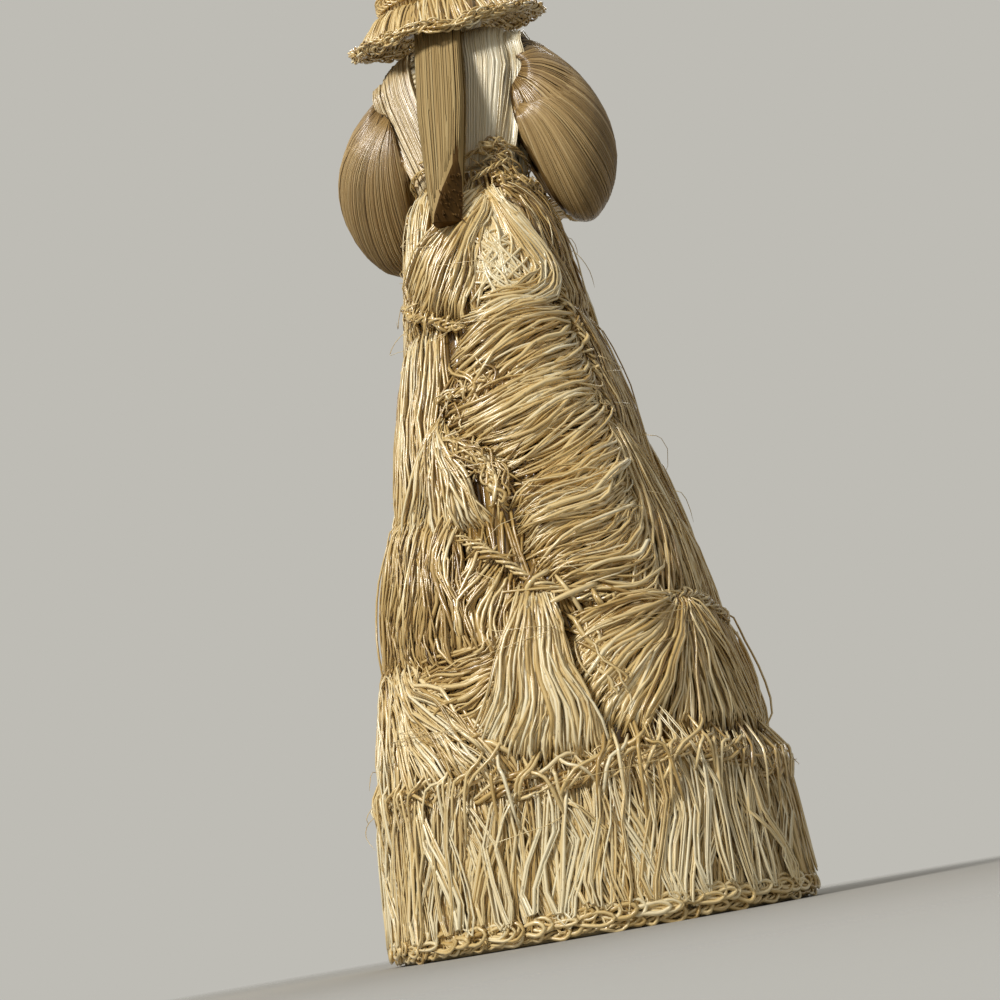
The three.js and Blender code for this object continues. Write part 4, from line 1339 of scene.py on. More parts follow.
class NodeSkin:
    """A surface that is found by rays."""

    def __init__(self, corners: Sequence[Triple], faces: Sequence[tuple[int, ...]]) -> None:
        """Takes the surface's corners, in millimetres, and its faces."""
        self.tree = BVHTree.FromPolygons(corners, faces)

    @classmethod
    def of(cls, node: bpy.types.Object) -> "NodeSkin":
        """Returns the surface of a CAD node."""
        corners = [tuple(v.co / MM) for v in node.data.vertices]
        return cls(corners, [tuple(p.vertices) for p in node.data.polygons])

    def hit(self, origin: Sequence[float], way: Sequence[float]) -> tuple[Array, Array] | None:
        """Returns where a ray first meets the surface and the way the surface faces there, or None."""
        point, normal, _, _ = self.tree.ray_cast(Vector(origin), Vector(way))
        return None if point is None else (np.array(point), np.array(normal))


@dataclass
class Bodice:
    """The torso with its straps, waist cord and knot."""

    shop: Workshop
    strap_fibres: int = 44
    strap_low: float = 217.0
    slant_cord: tuple[Triple, ...] = ((-7.0, 19.5, 207.5), (-12.5, 16.5, 211.0), (-17.0, 12.0, 214.5))
    arc_height: float = 249.0
    waist_inner: float = 3.4
    waist_outer: float = 14.4
    shoulder_inner: float = 9.0
    shoulder_outer: float = 24.6
    shoulder_top: float = 250.0
    side_margin: float = 0.8
    afar: float = 60.0
    arc_rise: float = 14.0
    flank_top: float = 255.0
    lap_drop: float = 0.3
    strap_steps: int = 24
    winding: Triple = (213.6, 263.2, 1.7)
    # Painted light: the right strap is tinted pale for light and sheen that the lamps don't give it, and the
    # left darker so that its pale fibres don't wash out under the key lamp.
    strap_painted_light_tints: dict[str, float] = field(default_factory=lambda: {"left": 0.4, "right": 0.9})
    cord_height: float = 220.3

    def __post_init__(self) -> None:
        """Takes the torso's surface."""
        self.skin = NodeSkin.of(self.shop.frame["nodes"]["torso_core"])

    def build_core(self) -> None:
        """Builds the pale stuffed core by softening a copy of its solid."""
        core = solid_copy(self.shop.frame["nodes"]["torso_core"], "torso_core_padding")
        apply_modifier(core, "REMESH", mode="VOXEL", voxel_size=1.6 * MM)
        apply_modifier(core, "SMOOTH", factor=0.5, iterations=6)
        bpy.ops.object.shade_smooth()
        self.shop.dress(core, Finish.CLOTH, "figure", "core_cloth", "torso_core")

    def build_winding(self) -> None:
        """Winds pale strips round the core, which show at the waist, the underarms and the neckline."""
        work = self.shop.work("torso_core_winding", 28)
        turn, ways = circle(72)
        for height in np.arange(*self.winding):
            lean = height + 0.7 * np.sin(turn + 6 * work.draw.random())
            found = [self.skin.hit(way * self.afar + [0, 0, z], -way) for way, z in zip(ways, lean)]
            ring = np.array([spot[0] for spot in found]) + ways * (0.15 + 0.15 * work.draw.random())
            shade = work.shade(0.82, 0.1)
            work.lay(ring, ways, 2.3, 0.5, shade, closed=True)
        self.shop.dress(work.mesh(), Finish.STRAP, "figure", "core_cloth", "torso_core")

    def strap_run(self, side: int, across: float, lift: float) -> Array | None:
        """Finds one strap fibre's line from the back of the waist over the shoulder to the front.

        Args:
            side: 1 for the doll's left and -1 for her right.
            across: Share of the strap's width, from its inner edge.
            lift: Height of the fibre off the torso.

        Returns:
            Points and facing in one array, (points, 6), or None where the torso is missed.
        """
        low = self.waist_inner + across * (self.waist_outer - self.waist_inner)
        high = self.shoulder_inner + across * (self.shoulder_outer - self.shoulder_inner)
        stops = []
        rays = [(z, 0.0) for z in np.linspace(self.strap_low, self.arc_height, 7)]
        rays += [(self.arc_height, a) for a in np.linspace(0, 180, 13)[1:-1]]
        rays += [(z, 180.0) for z in np.linspace(self.arc_height, self.strap_low, 7)]
        for z, angle in rays:
            rise = z + self.arc_rise * sin(radians(angle)) - self.strap_low
            x = low + (high - low) * min(1.0, rise / (self.shoulder_top - self.strap_low))
            way = np.array([0.0, cos(radians(angle)), sin(radians(angle))])
            flank = self.skin.hit((side * self.afar, 0.0, min(z, self.flank_top)), (-side, 0.0, 0.0))
            reach = min(x, abs(flank[0][0]) - self.side_margin)
            found = self.skin.hit(np.array([side * reach, 0.0, z]) + self.afar * way, -way)
            if found is None:
                return None
            point, normal = found
            past = x - reach
            lap = np.array([side * past, 0.0, 0.0]) - self.lap_drop * past * way
            stops.append(np.concatenate([point + normal * lift + lap, normal]))
        return resampled(np.array(stops), self.strap_steps)

    def build_straps(self) -> None:
        """Builds both straps, each a band of fine fibres."""
        for name, side in (("left", 1), ("right", -1)):
            work = self.shop.work(name + "_strap_fibres", 20 + side)
            for layer, count in ((0.8, self.strap_fibres // 2), (1.25, 2 * self.strap_fibres)):
                for k in range(count):
                    across = (k + 0.5 + 0.25 * work.stray()) / count
                    lift = layer + 0.16 * work.stray()
                    run = self.strap_run(side, min(max(across, 0.0), 1.0), lift)
                    if run is None:
                        continue
                    width = (0.48 if layer > 1 else 1.4) * (1 + 0.2 * work.stray())
                    # The strap's tint carries its painted light: pale on the right, darker on the left.
                    tint = work.shade(self.strap_painted_light_tints[name], 0.14, low=0.05)
                    work.lay(run[:, :3], unit(run[:, 3:]), width, work.FLATNESS * width, tint, (1, 1))
            node = name + "_bodice_strap"
            self.shop.dress(work.mesh(), Finish.STRAP, "figure", "pale_fibre", node)

    def waist_line(self, height: float, grow: float, count: int) -> tuple[Array, Array]:
        """Returns a closed line round the torso and the way it faces.

        Args:
            height: Height of the line.
            grow: Distance off the torso.
            count: Points in the line.

        Returns:
            The points and the facing directions.
        """
        points = []
        for turn in np.linspace(0, tau, count, endpoint=False):
            way = (cos(turn), sin(turn), 0.0)
            found = self.skin.hit((way[0] * 5.0, way[1] * 5.0, height), way)
            points.append(found[0] + np.array(way) * grow)
        points = np.array(points)
        return points, unit((points - [0, 0, height]) * [1, 1, 0])

    def build_waist(self) -> None:
        """Builds the waist cord, the knot at the back and the frayed loops round them."""
        work = self.shop.work("waist_cord_twist", 24)
        path, facing = self.waist_line(self.cord_height, 3.5, 160)
        path[:, 2] += 1.1 * np.sin(3 * circle(160)[0])
        work.rope(path, facing, Twist(0.5, 9.0, 3, 0.75), 0.5, True)
        slant = smooth_run(np.array([self.slant_cord]), 24)[0]
        work.rope(slant, unit(slant * [1, 1, 0]), Twist(0.5, 8.0, 3, 0.75), 0.6)
        self.shop.dress(work.mesh(), Finish.SKIRT, "figure", "fibre", "waist_cord")
        knot = self.shop.work("waist_knot_loops", 25)
        low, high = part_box("waist_knot")
        middle = np.array((low + high) / 2) / MM
        turn, _ = circle(26)
        for k in range(5):
            tip = np.array([cos(2.1 * k), 0.35 * sin(1.3 * k), sin(2.1 * k)])
            first = unit(np.cross(tip, [0.1, 1, 0.3]))
            second = np.cross(tip, first)
            ring = 1.9 * (np.cos(turn)[:, None] * first + np.sin(turn)[:, None] * second) + 0.5 * tip
            ring = middle + ring * np.array([1.15, 0.75, 1.0])
            shade = 0.5 + 0.3 * knot.draw.random()
            knot.lay(ring, unit(ring - middle), 0.9, 0.8, shade, closed=True)
        self.lay_loops(knot)
        self.shop.dress(knot.mesh(), Finish.SKIRT, "figure", "fibre", "waist_knot")

    def lay_loops(self, work: FibreWork) -> None:
        """Lays the frayed strand ends that cross over the waist beside the knot, and a few elsewhere."""
        draw = work.draw
        places, beside_knot = 144, 46
        upright = np.array([0.0, 0.0, 1.0])
        path, facing = self.waist_line(self.cord_height - 2, 2.6, places)
        for k in range(64):
            near = k < beside_knot
            spot = int(draw.normal(59, 4)) if near else int(draw.integers(70, 184))
            turn = draw.normal(0.5, 0.5)
            long = 4 + 5 * draw.random()
            out = facing[spot % places]
            heading = cos(turn) * -np.cross(upright, out) + sin(turn) * upright
            middle = path[spot % places] + [0, 0, 3.5 * work.stray() - 1.5]
            bulge = (0.6 + 1.6 * draw.random()) * (1.0 if near else 0.4)
            bend = 1.5 * work.stray() * upright
            half = 0.5 * long * heading
            stops = np.array([middle - half, middle + out * bulge + bend, middle + half])
            run = smooth_run(stops[None], 9)
            shade = work.shade(0.5, 0.2, low=0.05)
            work.lay(run, out, 0.75, work.FLATNESS, shade, (0.6, 0.4))

    def build(self) -> None:
        """Builds the torso and all that it wears."""
        self.shop.keep(Finish.WIRE, "arm_wire")
        self.build_core()
        self.build_winding()
        self.build_straps()
        self.build_waist()


# Arms


@dataclass
class Arm:
    """One arm: a puffed sleeve of fine fibres, a bound forearm and a hand."""

    shop: Workshop
    name: str
    side: int
    puff_bottom: float = 198.8
    puff_height: float = 66.0
    puff_radius: float = 16.0
    puff_low: Pair = (30.5, -12.0)
    puff_top: Pair = (20.5, -4.0)
    root: Triple = (20.5, 3.0, 243.0)
    cuff: Triple = (22.0, -29.5, 216.3)
    heading: Triple = (-16.5, -13.0, 9.0)
    cuff_radius: float = 4.5
    wrist_radius: float = 3.3
    forearm_length: float = 14.0
    hand_length: float = 10.0
    torso_gap: float = 2.7
    armhole: float = 20.5
    wire: Pair = (-4.6, 249.8)
    swing_room: tuple[tuple[float, ...], ...] = ((20.0, 28.0, 38.0, 53.0), (0.0, 20.6, 23.6, 27.0))
    begin: Pair = (244.0, 15.0)
    shift: Triple = (0.0, 0.0, 0.0)
    shoulder_level: float = 255.3
    torso_levels: tuple[float, ...] = (199, 212, 220.3, 255.3)
    torso_widths: tuple[float, ...] = (15.6, 15.2, 14.5, 22.5)
    torso_depths: tuple[float, ...] = (12.0, 11.0, 10.0, 11.5)
    torso_top: float = 266.0
    sweep: tuple[float, float, int] = (4, 176, 44)
    neck_from: float = 100.0
    neck_width: float = 11.0
    gather: float = 0.4
    outer: Pair = (21.0, 12.0)
    neck_steps: int = 5
    strand_steps: int = 19
    bands: int = 160
    layers: tuple[Layer, ...] = (
        Layer(110, -0.9, 2.6, 0.5, 0.25),
        Layer(240, -0.3, 0.7, 0.4, 0.5),
        Layer(900, 0.25, 0.26, 0.2, 0.58),
    )

    def mirrored(self, point: Sequence[float]) -> Array:
        """Returns a point of the left arm on this arm's side."""
        return np.array(point, float) * [self.side, 1, 1]

    def egg(self) -> NodeSkin:
        """Returns the whole round of the puff, before the torso's side is cut away."""
        rows, sides = 28, 40
        corners = []
        for i in range(rows + 1):
            share = (1 - cos(pi * (i + 0.02) / (rows + 0.04))) / 2
            radius = self.puff_radius * sin(pi * share) ** 0.6
            x = self.puff_low[0] + (self.puff_top[0] - self.puff_low[0]) * share**2.2
            y = self.puff_low[1] + (self.puff_top[1] - self.puff_low[1]) * share
            for turn in np.linspace(0, tau, sides, endpoint=False):
                spot = (x + radius * cos(turn), y + radius * sin(turn))
                corners.append((*spot, self.puff_bottom + share * self.puff_height))
        faces = []
        for i in range(rows):
            for j in range(sides):
                k = (j + 1) % sides
                faces.append((i * sides + j, i * sides + k, (i + 1) * sides + k, (i + 1) * sides + j))
        return NodeSkin(corners, faces)

    def inner_limit(self, points: Array) -> Array:
        """Finds how far out the torso, and the waist and skirt that the arm swings past, reach.

        Args:
            points: Points of a sleeve line on the doll's left, (points, 3).

        Returns:
            The least distance from the doll's middle at each point.
        """
        y, z = np.abs(points[:, 1]), points[:, 2]
        below = z < self.shoulder_level
        bulge = np.sqrt(np.clip(1 - ((z - self.shoulder_level) / 9) ** 2, 0, 1))
        width = np.where(below, np.interp(z, self.torso_levels, self.torso_widths), 15 + 7.5 * bulge)
        depth = np.where(below, np.interp(z, self.torso_levels, self.torso_depths), 5.5 + 6 * bulge)
        waist = 2.4 * np.exp(-(((z - 219.5) / 3.5) ** 2))
        width, depth = width + self.torso_gap + waist, depth + self.torso_gap + waist
        around = np.hypot(points[:, 1] - self.wire[0], z - self.wire[1])
        swung = np.interp(around, *self.swing_room)
        reach = width * np.clip(1 - (y / depth) ** 2.5, 0, 1) ** 0.4
        return np.maximum(swung, np.where(z > self.torso_top, 0.0, reach))

    def sleeve_lines(self, turns: Array, steps: int, spread: bool) -> list[Array]:
        """Finds lines over the puff that fan out from the armhole and come together at the cuff.

        Args:
            turns: Angle of each line round the sleeve's chord.
            steps: Points in each line.
            spread: Whether the lines begin spread out along the armhole, or all at its middle.

        Returns:
            Points and facing of each line, (points, 6), on the doll's left.
        """
        skin = self.egg()
        root, cuff = np.array(self.root), np.array(self.cuff)
        middle = (root + cuff) / 2
        along = unit(cuff - root)
        first = unit(np.cross(along, [0.0, 1.0, 0.0]))
        second = np.cross(along, first)
        sweep = np.radians(np.linspace(*self.sweep))
        lines = []
        for turn in turns:
            way = cos(turn) * first + sin(turn) * second
            points, ways = [], []
            for angle in sweep:
                ray = -cos(angle) * along + sin(angle) * way
                found = skin.hit(middle, ray)
                reach = 0.0 if found is None else float(np.linalg.norm(found[0] - middle))
                points.append(middle + reach * ray)
                ways.append(ray)
            points, ways = np.array(points), np.array(ways)
            rise = (points - middle) @ along
            off = points - middle - rise[:, None] * along
            width = np.linalg.norm(off, axis=1)
            past = sweep > np.radians(self.neck_from)
            last = int(np.argmax(np.where(past, width < self.neck_width, False)))
            last = last if last > 0 else len(sweep) - 3
            body = points[:last]
            t = np.linspace(0.25, 1, self.neck_steps)[:, None]
            neck = body[-1] * (1 - t) + (cuff + self.cuff_radius * way) * t
            line = np.concatenate([body, neck])
            ways = np.concatenate([ways[:last], np.repeat(way[None], self.neck_steps, 0)])
            limit = self.inner_limit(line)
            inside = line[:, 0] < limit
            inside[-self.neck_steps :] = False
            begin = int(np.argmin(inside)) if inside[0] else 0
            begin = max(0, begin - 2)
            line[:, 0] = np.where(inside, limit, line[:, 0])
            full = np.concatenate([line, unit(ways)], 1)[begin:]
            start = np.array([[self.armhole, 3 + 5 * way[1], self.begin[0] + self.begin[1] * way[2]]])
            share = np.linspace(0, 1, len(full))[:, None]
            if spread:
                full[:, :3] += np.clip(1 - share / self.gather, 0, 1) ** 2 * (start - full[0, :3])
            for k in [0, 1, 2] * 3:
                full[:, k] = np.convolve(np.pad(full[:, k], 2, mode="edge"), np.ones(5) / 5, mode="valid")
            lines.append(resampled(full, steps))
        return lines

    def build_puff(self) -> None:
        """Builds the puff: a broad dark layer and fine fibres over it, with painted shade at the fibres'
        gathered root and towards the cuff.
        """
        work = self.shop.work(self.name + "_sleeve_fibres", 30 + self.side)
        s = np.linspace(0, 1, self.strand_steps)
        swell = np.sin(pi * s)[:, None] * np.array(self.shift)
        # Painted shade: each fibre's tint is darkened sharply at its gathered root, and more and more towards
        # the cuff.
        fade = 0.14 - 0.28 * s - 0.35 * np.exp(-s / 0.09)
        bands = 0.08 * work.stray(self.bands)
        for layer in self.layers:
            count, width = layer.count, layer.width
            turns = tau * (np.arange(count) + 0.6 * work.stray(count)) / count
            for turn, line in zip(turns, self.sleeve_lines(turns, self.strand_steps, width < 0.5)):
                rise = layer.lift + 0.08 * work.stray() * np.sin(pi * s)[:, None]
                outer = np.clip((line[:, :1] - self.outer[0]) / self.outer[1], 0, 1)
                points = (line[:, :3] + swell * outer + line[:, 3:] * rise) * [self.side, 1, 1]
                facing = line[:, 3:] * [self.side, 1, 1]
                band = np.interp(turn / (tau) % 1 * self.bands, np.arange(self.bands), bands)
                shade = work.shade(layer.tint + band + fade, 0.1, low=0.03)[None]
                size = width * (1 + 0.25 * work.stray())
                work.lay(points, facing, size, layer.depth * min(1.0, size / width), shade, (0.8, 0.6))
        node = self.name + "_sleeve_puff"
        self.shop.dress(work.mesh(), Finish.SLEEVE, self.name + "_arm", "gold_fibre", node)

    def along_arm(self, distance: float) -> Array:
        """Returns a point on the forearm's middle line, counted from the cuff."""
        return self.mirrored(np.array(self.cuff) + distance * unit(np.array(self.heading)))

    def frame_at(self) -> tuple[Array, Array, Array]:
        """Returns the forearm's direction and two directions across it."""
        along = unit(self.mirrored(self.heading))
        first = unit(np.cross(along, [0.0, 0.0, 1.0]))
        return along, first, np.cross(along, first)

    def build_tie(self, node: str, place: float, radius: float, salt: int) -> None:
        """Builds a thread tie of a few turns.

        Args:
            node: The CAD node that it stands for.
            place: Distance from the cuff along the forearm.
            radius: Radius of what it ties.
            salt: Sets its random draws apart.
        """
        work = self.shop.work(node + "_turns", salt)
        _, first, second = self.frame_at()
        turn, _ = circle(40)
        round_it = np.cos(turn)[:, None] * first + np.sin(turn)[:, None] * second
        for shift in (-0.75, 0.0, 0.75):
            path = self.along_arm(place + shift) + (radius + 0.75) * round_it
            work.rope(path, round_it, Twist(0.3, 3.0, 3, 0.62), 0.6, True)
        self.shop.dress(work.mesh(), Finish.SKIRT, self.name + "_arm", "fibre", node)

    def build_forearm(self) -> None:
        """Builds the bound straws of the forearm and the flattened hand that they end in."""
        _, first, second = self.frame_at()
        work = self.shop.work(self.name + "_forearm_straws", 40 + self.side)
        hand = self.shop.work(self.name + "_hand_straws", 44 + self.side)
        for layer, count in ((0.45, 9), (0.8, 16), (1.0, 22)):
            for k in range(count):
                turn = tau * (k + 0.3 * work.draw.random()) / count
                way = cos(turn) * first + sin(turn) * second
                stops = []
                for share in np.linspace(-0.12, 1, 8):
                    narrowed = min(1, 1.2 * max(share, 0))
                    radius = self.cuff_radius + (self.wrist_radius - self.cuff_radius) * narrowed
                    stops.append(self.along_arm(share * self.forearm_length) + way * layer * (radius - 0.35))
                shade = work.shade(0.66, 0.14)
                work.lay(stops, way, 1.15, 0.8, shade, (1, 1))
                stops = []
                reach = self.hand_length * (0.86 + 0.16 * hand.draw.random())
                for share in np.linspace(-0.05, 1, 8):
                    swell = 0.86 + 0.5 * sin(pi * min(1.0, 0.15 + 0.72 * share)) - 0.3 * share
                    flat = first * cos(turn) * 3.5 + second * sin(turn) * 2.5
                    middle = self.along_arm(self.forearm_length + 0.3 + share * reach)
                    stops.append(middle + flat * layer * swell)
                shade = hand.shade(0.66, 0.14)
                hand.lay(stops, way, 1.15, 0.8, shade, (1, 0.6))
        body = self.name + "_arm"
        self.shop.dress(work.mesh(), Finish.SKIRT, body, "straw_bark", self.name + "_forearm")
        self.shop.dress(hand.mesh(), Finish.SKIRT, body, "straw_bark", self.name + "_hand")

    def build(self) -> None:
        """Builds the arm from the shoulder to the hand."""
        self.build_puff()
        self.build_tie(self.name + "_cuff_tie", -1.5, self.cuff_radius, 50 + self.side)
        self.build_forearm()
        self.build_tie(self.name + "_wrist_tie", self.forearm_length - 1.1, self.wrist_radius, 54 + self.side)


# Head, hair and hat


@dataclass
class Head:
    """The neck, the plain wrapped head and the hair combed back to the nape."""

    shop: Workshop
    middle: Triple = (0.0, -1.5, 283.2)
    radius: float = 13.5
    half_height: float = 15.0
    nape: Triple = (-2.5, 8.5, 268.0)
    neck_span: Pair = (264.8, 270.2)
    neck_radius: float = 5.6
    wrap_layers: tuple[Layer, ...] = (
        Layer(40, -0.9, 4.0, 0.6, 0.62, 0.1),
        Layer(96, -0.45, 0.95, 0.6, 0.62, 0.1),
    )
    hair_layers: tuple[Layer, ...] = (
        Layer(60, 0.6, 1.6, 0.6, 0.55, 0.13),
        Layer(120, 1.2, 0.8, 0.6, 0.55, 0.13),
    )

    def on_head(self, way: Array, lift: float) -> Array:
        """Returns points on the head in given directions, lifted off it."""
        sizes = np.array([self.radius, self.radius, self.half_height]) + lift
        return np.array(self.middle) + unit(way) * sizes

    def build_ball(self) -> None:
        """Builds the head: a rounded core wrapped in fibres from crown to chin."""
        work = self.shop.work("head_wrapping", 60)
        rise = np.radians(np.linspace(88, -86, 16))
        for layer in self.wrap_layers:
            for turn in work.around(layer.count, 0.3):
                way = on_sphere(rise, np.full(len(rise), turn))
                run = self.on_head(way, layer.lift + 0.1 * work.stray())
                shade = work.shade(layer.tint, layer.spread)
                work.lay(run, unit(way), layer.width, layer.depth, shade, (0.4, 0.4))
        self.shop.dress(work.mesh(), Finish.STRAP, "figure", "straw_bark", "head")

    def build_hair(self) -> None:
        """Builds the hair from the brow back to the nape."""
        work = self.shop.work("hair_strands", 61)
        nape = unit(np.array(self.nape) - np.array(self.middle))
        for layer in self.hair_layers:
            for k in range(layer.count):
                turn = pi * (k + 0.5 + 0.3 * work.stray()) / layer.count
                turn = -0.2 + turn * 1.13
                brow = np.array([1.02 * cos(turn), -0.34, sin(turn)])
                s = np.linspace(0, 1, 14)[:, None]
                spread = np.array([0.16 * cos(turn), 0, 0.1])
                over = np.array([0, 0.55, 0.1]) * s * (1 - s)
                way = unit(unit(brow) * (1 - s) + (nape + spread) * s + over)
                run = self.on_head(way, layer.lift + 0.15 * work.stray())
                shade = work.shade(layer.tint, layer.spread)
                work.lay(run, way, layer.width, layer.depth * layer.width, shade, (0.7, 0.6))
        self.shop.dress(work.mesh(), Finish.SLEEVE, "figure", "gold_fibre", "hair_cap")

    def build_neck(self) -> None:
        """Builds the cord wound round the neck."""
        work = self.shop.work("neck_winding", 62)
        rounds = 4
        turn = np.linspace(0, tau * rounds, 40 * rounds)
        z = np.linspace(self.neck_span[0] + 0.6, self.neck_span[1] - 0.6, len(turn))
        out = outward(turn)
        path = out * self.neck_radius + np.stack([0 * z, 0 * z, z], -1)
        work.rope(path, out, Twist(0.45, 5.0, 4, 0.85), 0.5)
        self.shop.dress(work.mesh(), Finish.SKIRT, "figure", "fibre", "neck_wrap")

    def build_nape_knot(self) -> None:
        """Builds the knot that gathers the hair at the nape."""
        work = self.shop.work("nape_knot_turns", 63)
        low, high = (np.array(corner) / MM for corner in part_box("nape_knot"))
        middle, half = (low + high) / 2, (high - low) / 2
        turn, _ = circle(30)
        for k in range(7):
            x = half[0] * (k - 3) / 3.6
            pinch = sqrt(max(0.05, 1 - (x / half[0]) ** 2))
            deep, high = 0.8 * half[1] * pinch, 0.85 * half[2] * pinch
            ring = np.stack([0 * turn + x, deep * np.cos(turn), high * np.sin(turn)], -1)
            out = unit(ring * [0.2, 1, 1])
            work.lay(middle + ring, out, 1.5, 0.9, 0.5 + 0.2 * work.draw.random(), closed=True)
        self.shop.dress(work.mesh(), Finish.SLEEVE, "figure", "gold_fibre", "nape_knot")

    def build(self) -> None:
        """Builds the head with its neck and hair."""
        self.build_neck()
        self.build_ball()
        self.build_hair()
        self.build_nape_knot()


@dataclass
class Tail:
    """The thick flat tail of straw that hangs down the back, its end cut away aslant."""

    shop: Workshop
    top: Triple = (-2.8, 12.9, 267.7)
    end: Triple = (-1.3, 28.2, 192.7)
    half_width: float = 7.5
    end_half_width: float = 4.2
    taper_length: float = 40.0
    half_depths: Pair = (2.0, 3.0)
    cut_length: float = 24.0
    roundness: float = 3.2
    face_straws: int = 46

    def place(self, share: Array, across: Array | float, behind: Array | float) -> Array:
        """Returns places on the tail.

        Args:
            share: Shares of its length, from the top.
            across: Shares of its half width, towards her left.
            behind: Shares of its half depth, towards her back.

        Returns:
            The places, (shares, 3).
        """
        length = self.top[2] - self.end[2]
        taper = np.clip(1 - (1 - share) * length / self.taper_length, 0, 1)
        width = self.half_width + (self.end_half_width - self.half_width) * taper
        depth = self.half_depths[0] + (self.half_depths[1] - self.half_depths[0]) * share
        middle = np.array(self.top) + share[:, None] * (np.array(self.end) - np.array(self.top))
        return middle + np.stack([across * width, behind * depth, 0 * share], -1)

    def cut(self) -> tuple[Array, Array]:
        """Returns a point of the slanting cut and the way it faces."""
        start = 1 - self.cut_length / (self.top[2] - self.end[2])
        shares = np.array([start, 1.0, 1.0])
        first, second, third = self.place(shares, np.array([-1.0, 1.0, -1.0]), np.array([1.0, 1.0, -1.0]))
        way = unit(np.cross(second - first, third - first))
        return first, way if way[1] > 0 else -way

    def build_core(self) -> None:
        """Builds the tail's body from its solid, with rounded edges and a dark cut, partly the cut straw's
        own brown and partly painted shade.
        """
        core = solid_copy(self.shop.frame["nodes"]["hair_tail"], "hair_tail_core", flat=2.0)
        edge = radians(40)
        apply_modifier(core, "BEVEL", width=0.3 * MM, segments=2, limit_method="ANGLE", angle_limit=edge)
        bpy.ops.object.shade_smooth_by_angle(angle=radians(35))
        _, way = self.cut()
        # The cut face and the faces underneath get the darkest tint: partly the cut straw's own brown, partly
        # painted shade on faces that look down.
        dark, pale = 0.04, 0.62
        tints = []
        for face in core.data.polygons:
            cut = float(np.array(face.normal) @ way) > 0.9 or face.normal.z < -0.8
            tints.append(dark if cut else pale)
        paint_grain(core, tints)
        self.shop.dress(core, Finish.TAIL, "tail", "straw_bark", "hair_tail")

    def build_straws(self) -> None:
        """Builds the straws that show on the tail's faces and the ragged bits along its cut, which are tinted
        dark like the cut, partly as painted shade.
        """
        work = self.shop.work("hair_tail_straws", 70)
        draw = work.draw
        origin, way = self.cut()
        share = np.linspace(0.0, 1, 30)
        for face in (1, -1):
            for k in range(self.face_straws):
                spot = (k + 0.5 + 0.6 * work.stray()) / self.face_straws
                across = 0.96 * (-1 + 2 * spot)
                first, last = sorted(draw.random(2)) if k % 3 else (0.0, 1.0)
                behind = face * max(0, 1 - abs(across) ** self.roundness) ** (1 / self.roundness)
                line = self.place(first + (last - first) * share, across, behind)
                line = line[(line - origin) @ way < -0.5]
                if len(line) < 6:
                    continue
                line = resampled(line, 12)
                shade = work.shade(0.64, 0.08)
                facing = unit(np.array([0.5 * across**3, float(face), 0.2 * face]))
                work.lay(line, facing, 0.5 * (1 + 0.5 * draw.random()), 0.06, shade, (0.3, 0.3))
        for _ in range(200):
            low = 1 - self.cut_length / (self.top[2] - self.end[2]) * (0.05 + 0.85 * draw.random(1))
            across, behind = 1.6 * draw.random() - 0.9, 1.6 * draw.random() - 0.8
            spot = self.place(low, across, behind)[0]
            depth = (spot - origin) @ way
            if abs(depth) > 1.6:
                continue
            spot = spot - way * (depth + 0.4)
            tip = spot + way * (0.7 + 0.6 * draw.random())
            tip = tip + [0.4 * work.stray(), 0, -0.8 - 1.2 * draw.random()]
            # The ragged bits are tinted near the darkest brown: partly the cut's own colour, partly painted
            # shade.
            work.lay(np.linspace(spot, tip, 4), way, 0.5, 0.3, 0.02 + 0.12 * draw.random() ** 2, (1, 0.5))
        self.shop.dress(work.mesh(), Finish.TAIL, "tail", "straw_bark", "hair_tail")

    def build(self) -> None:
        """Builds the tail."""
        self.build_core()
        self.build_straws()


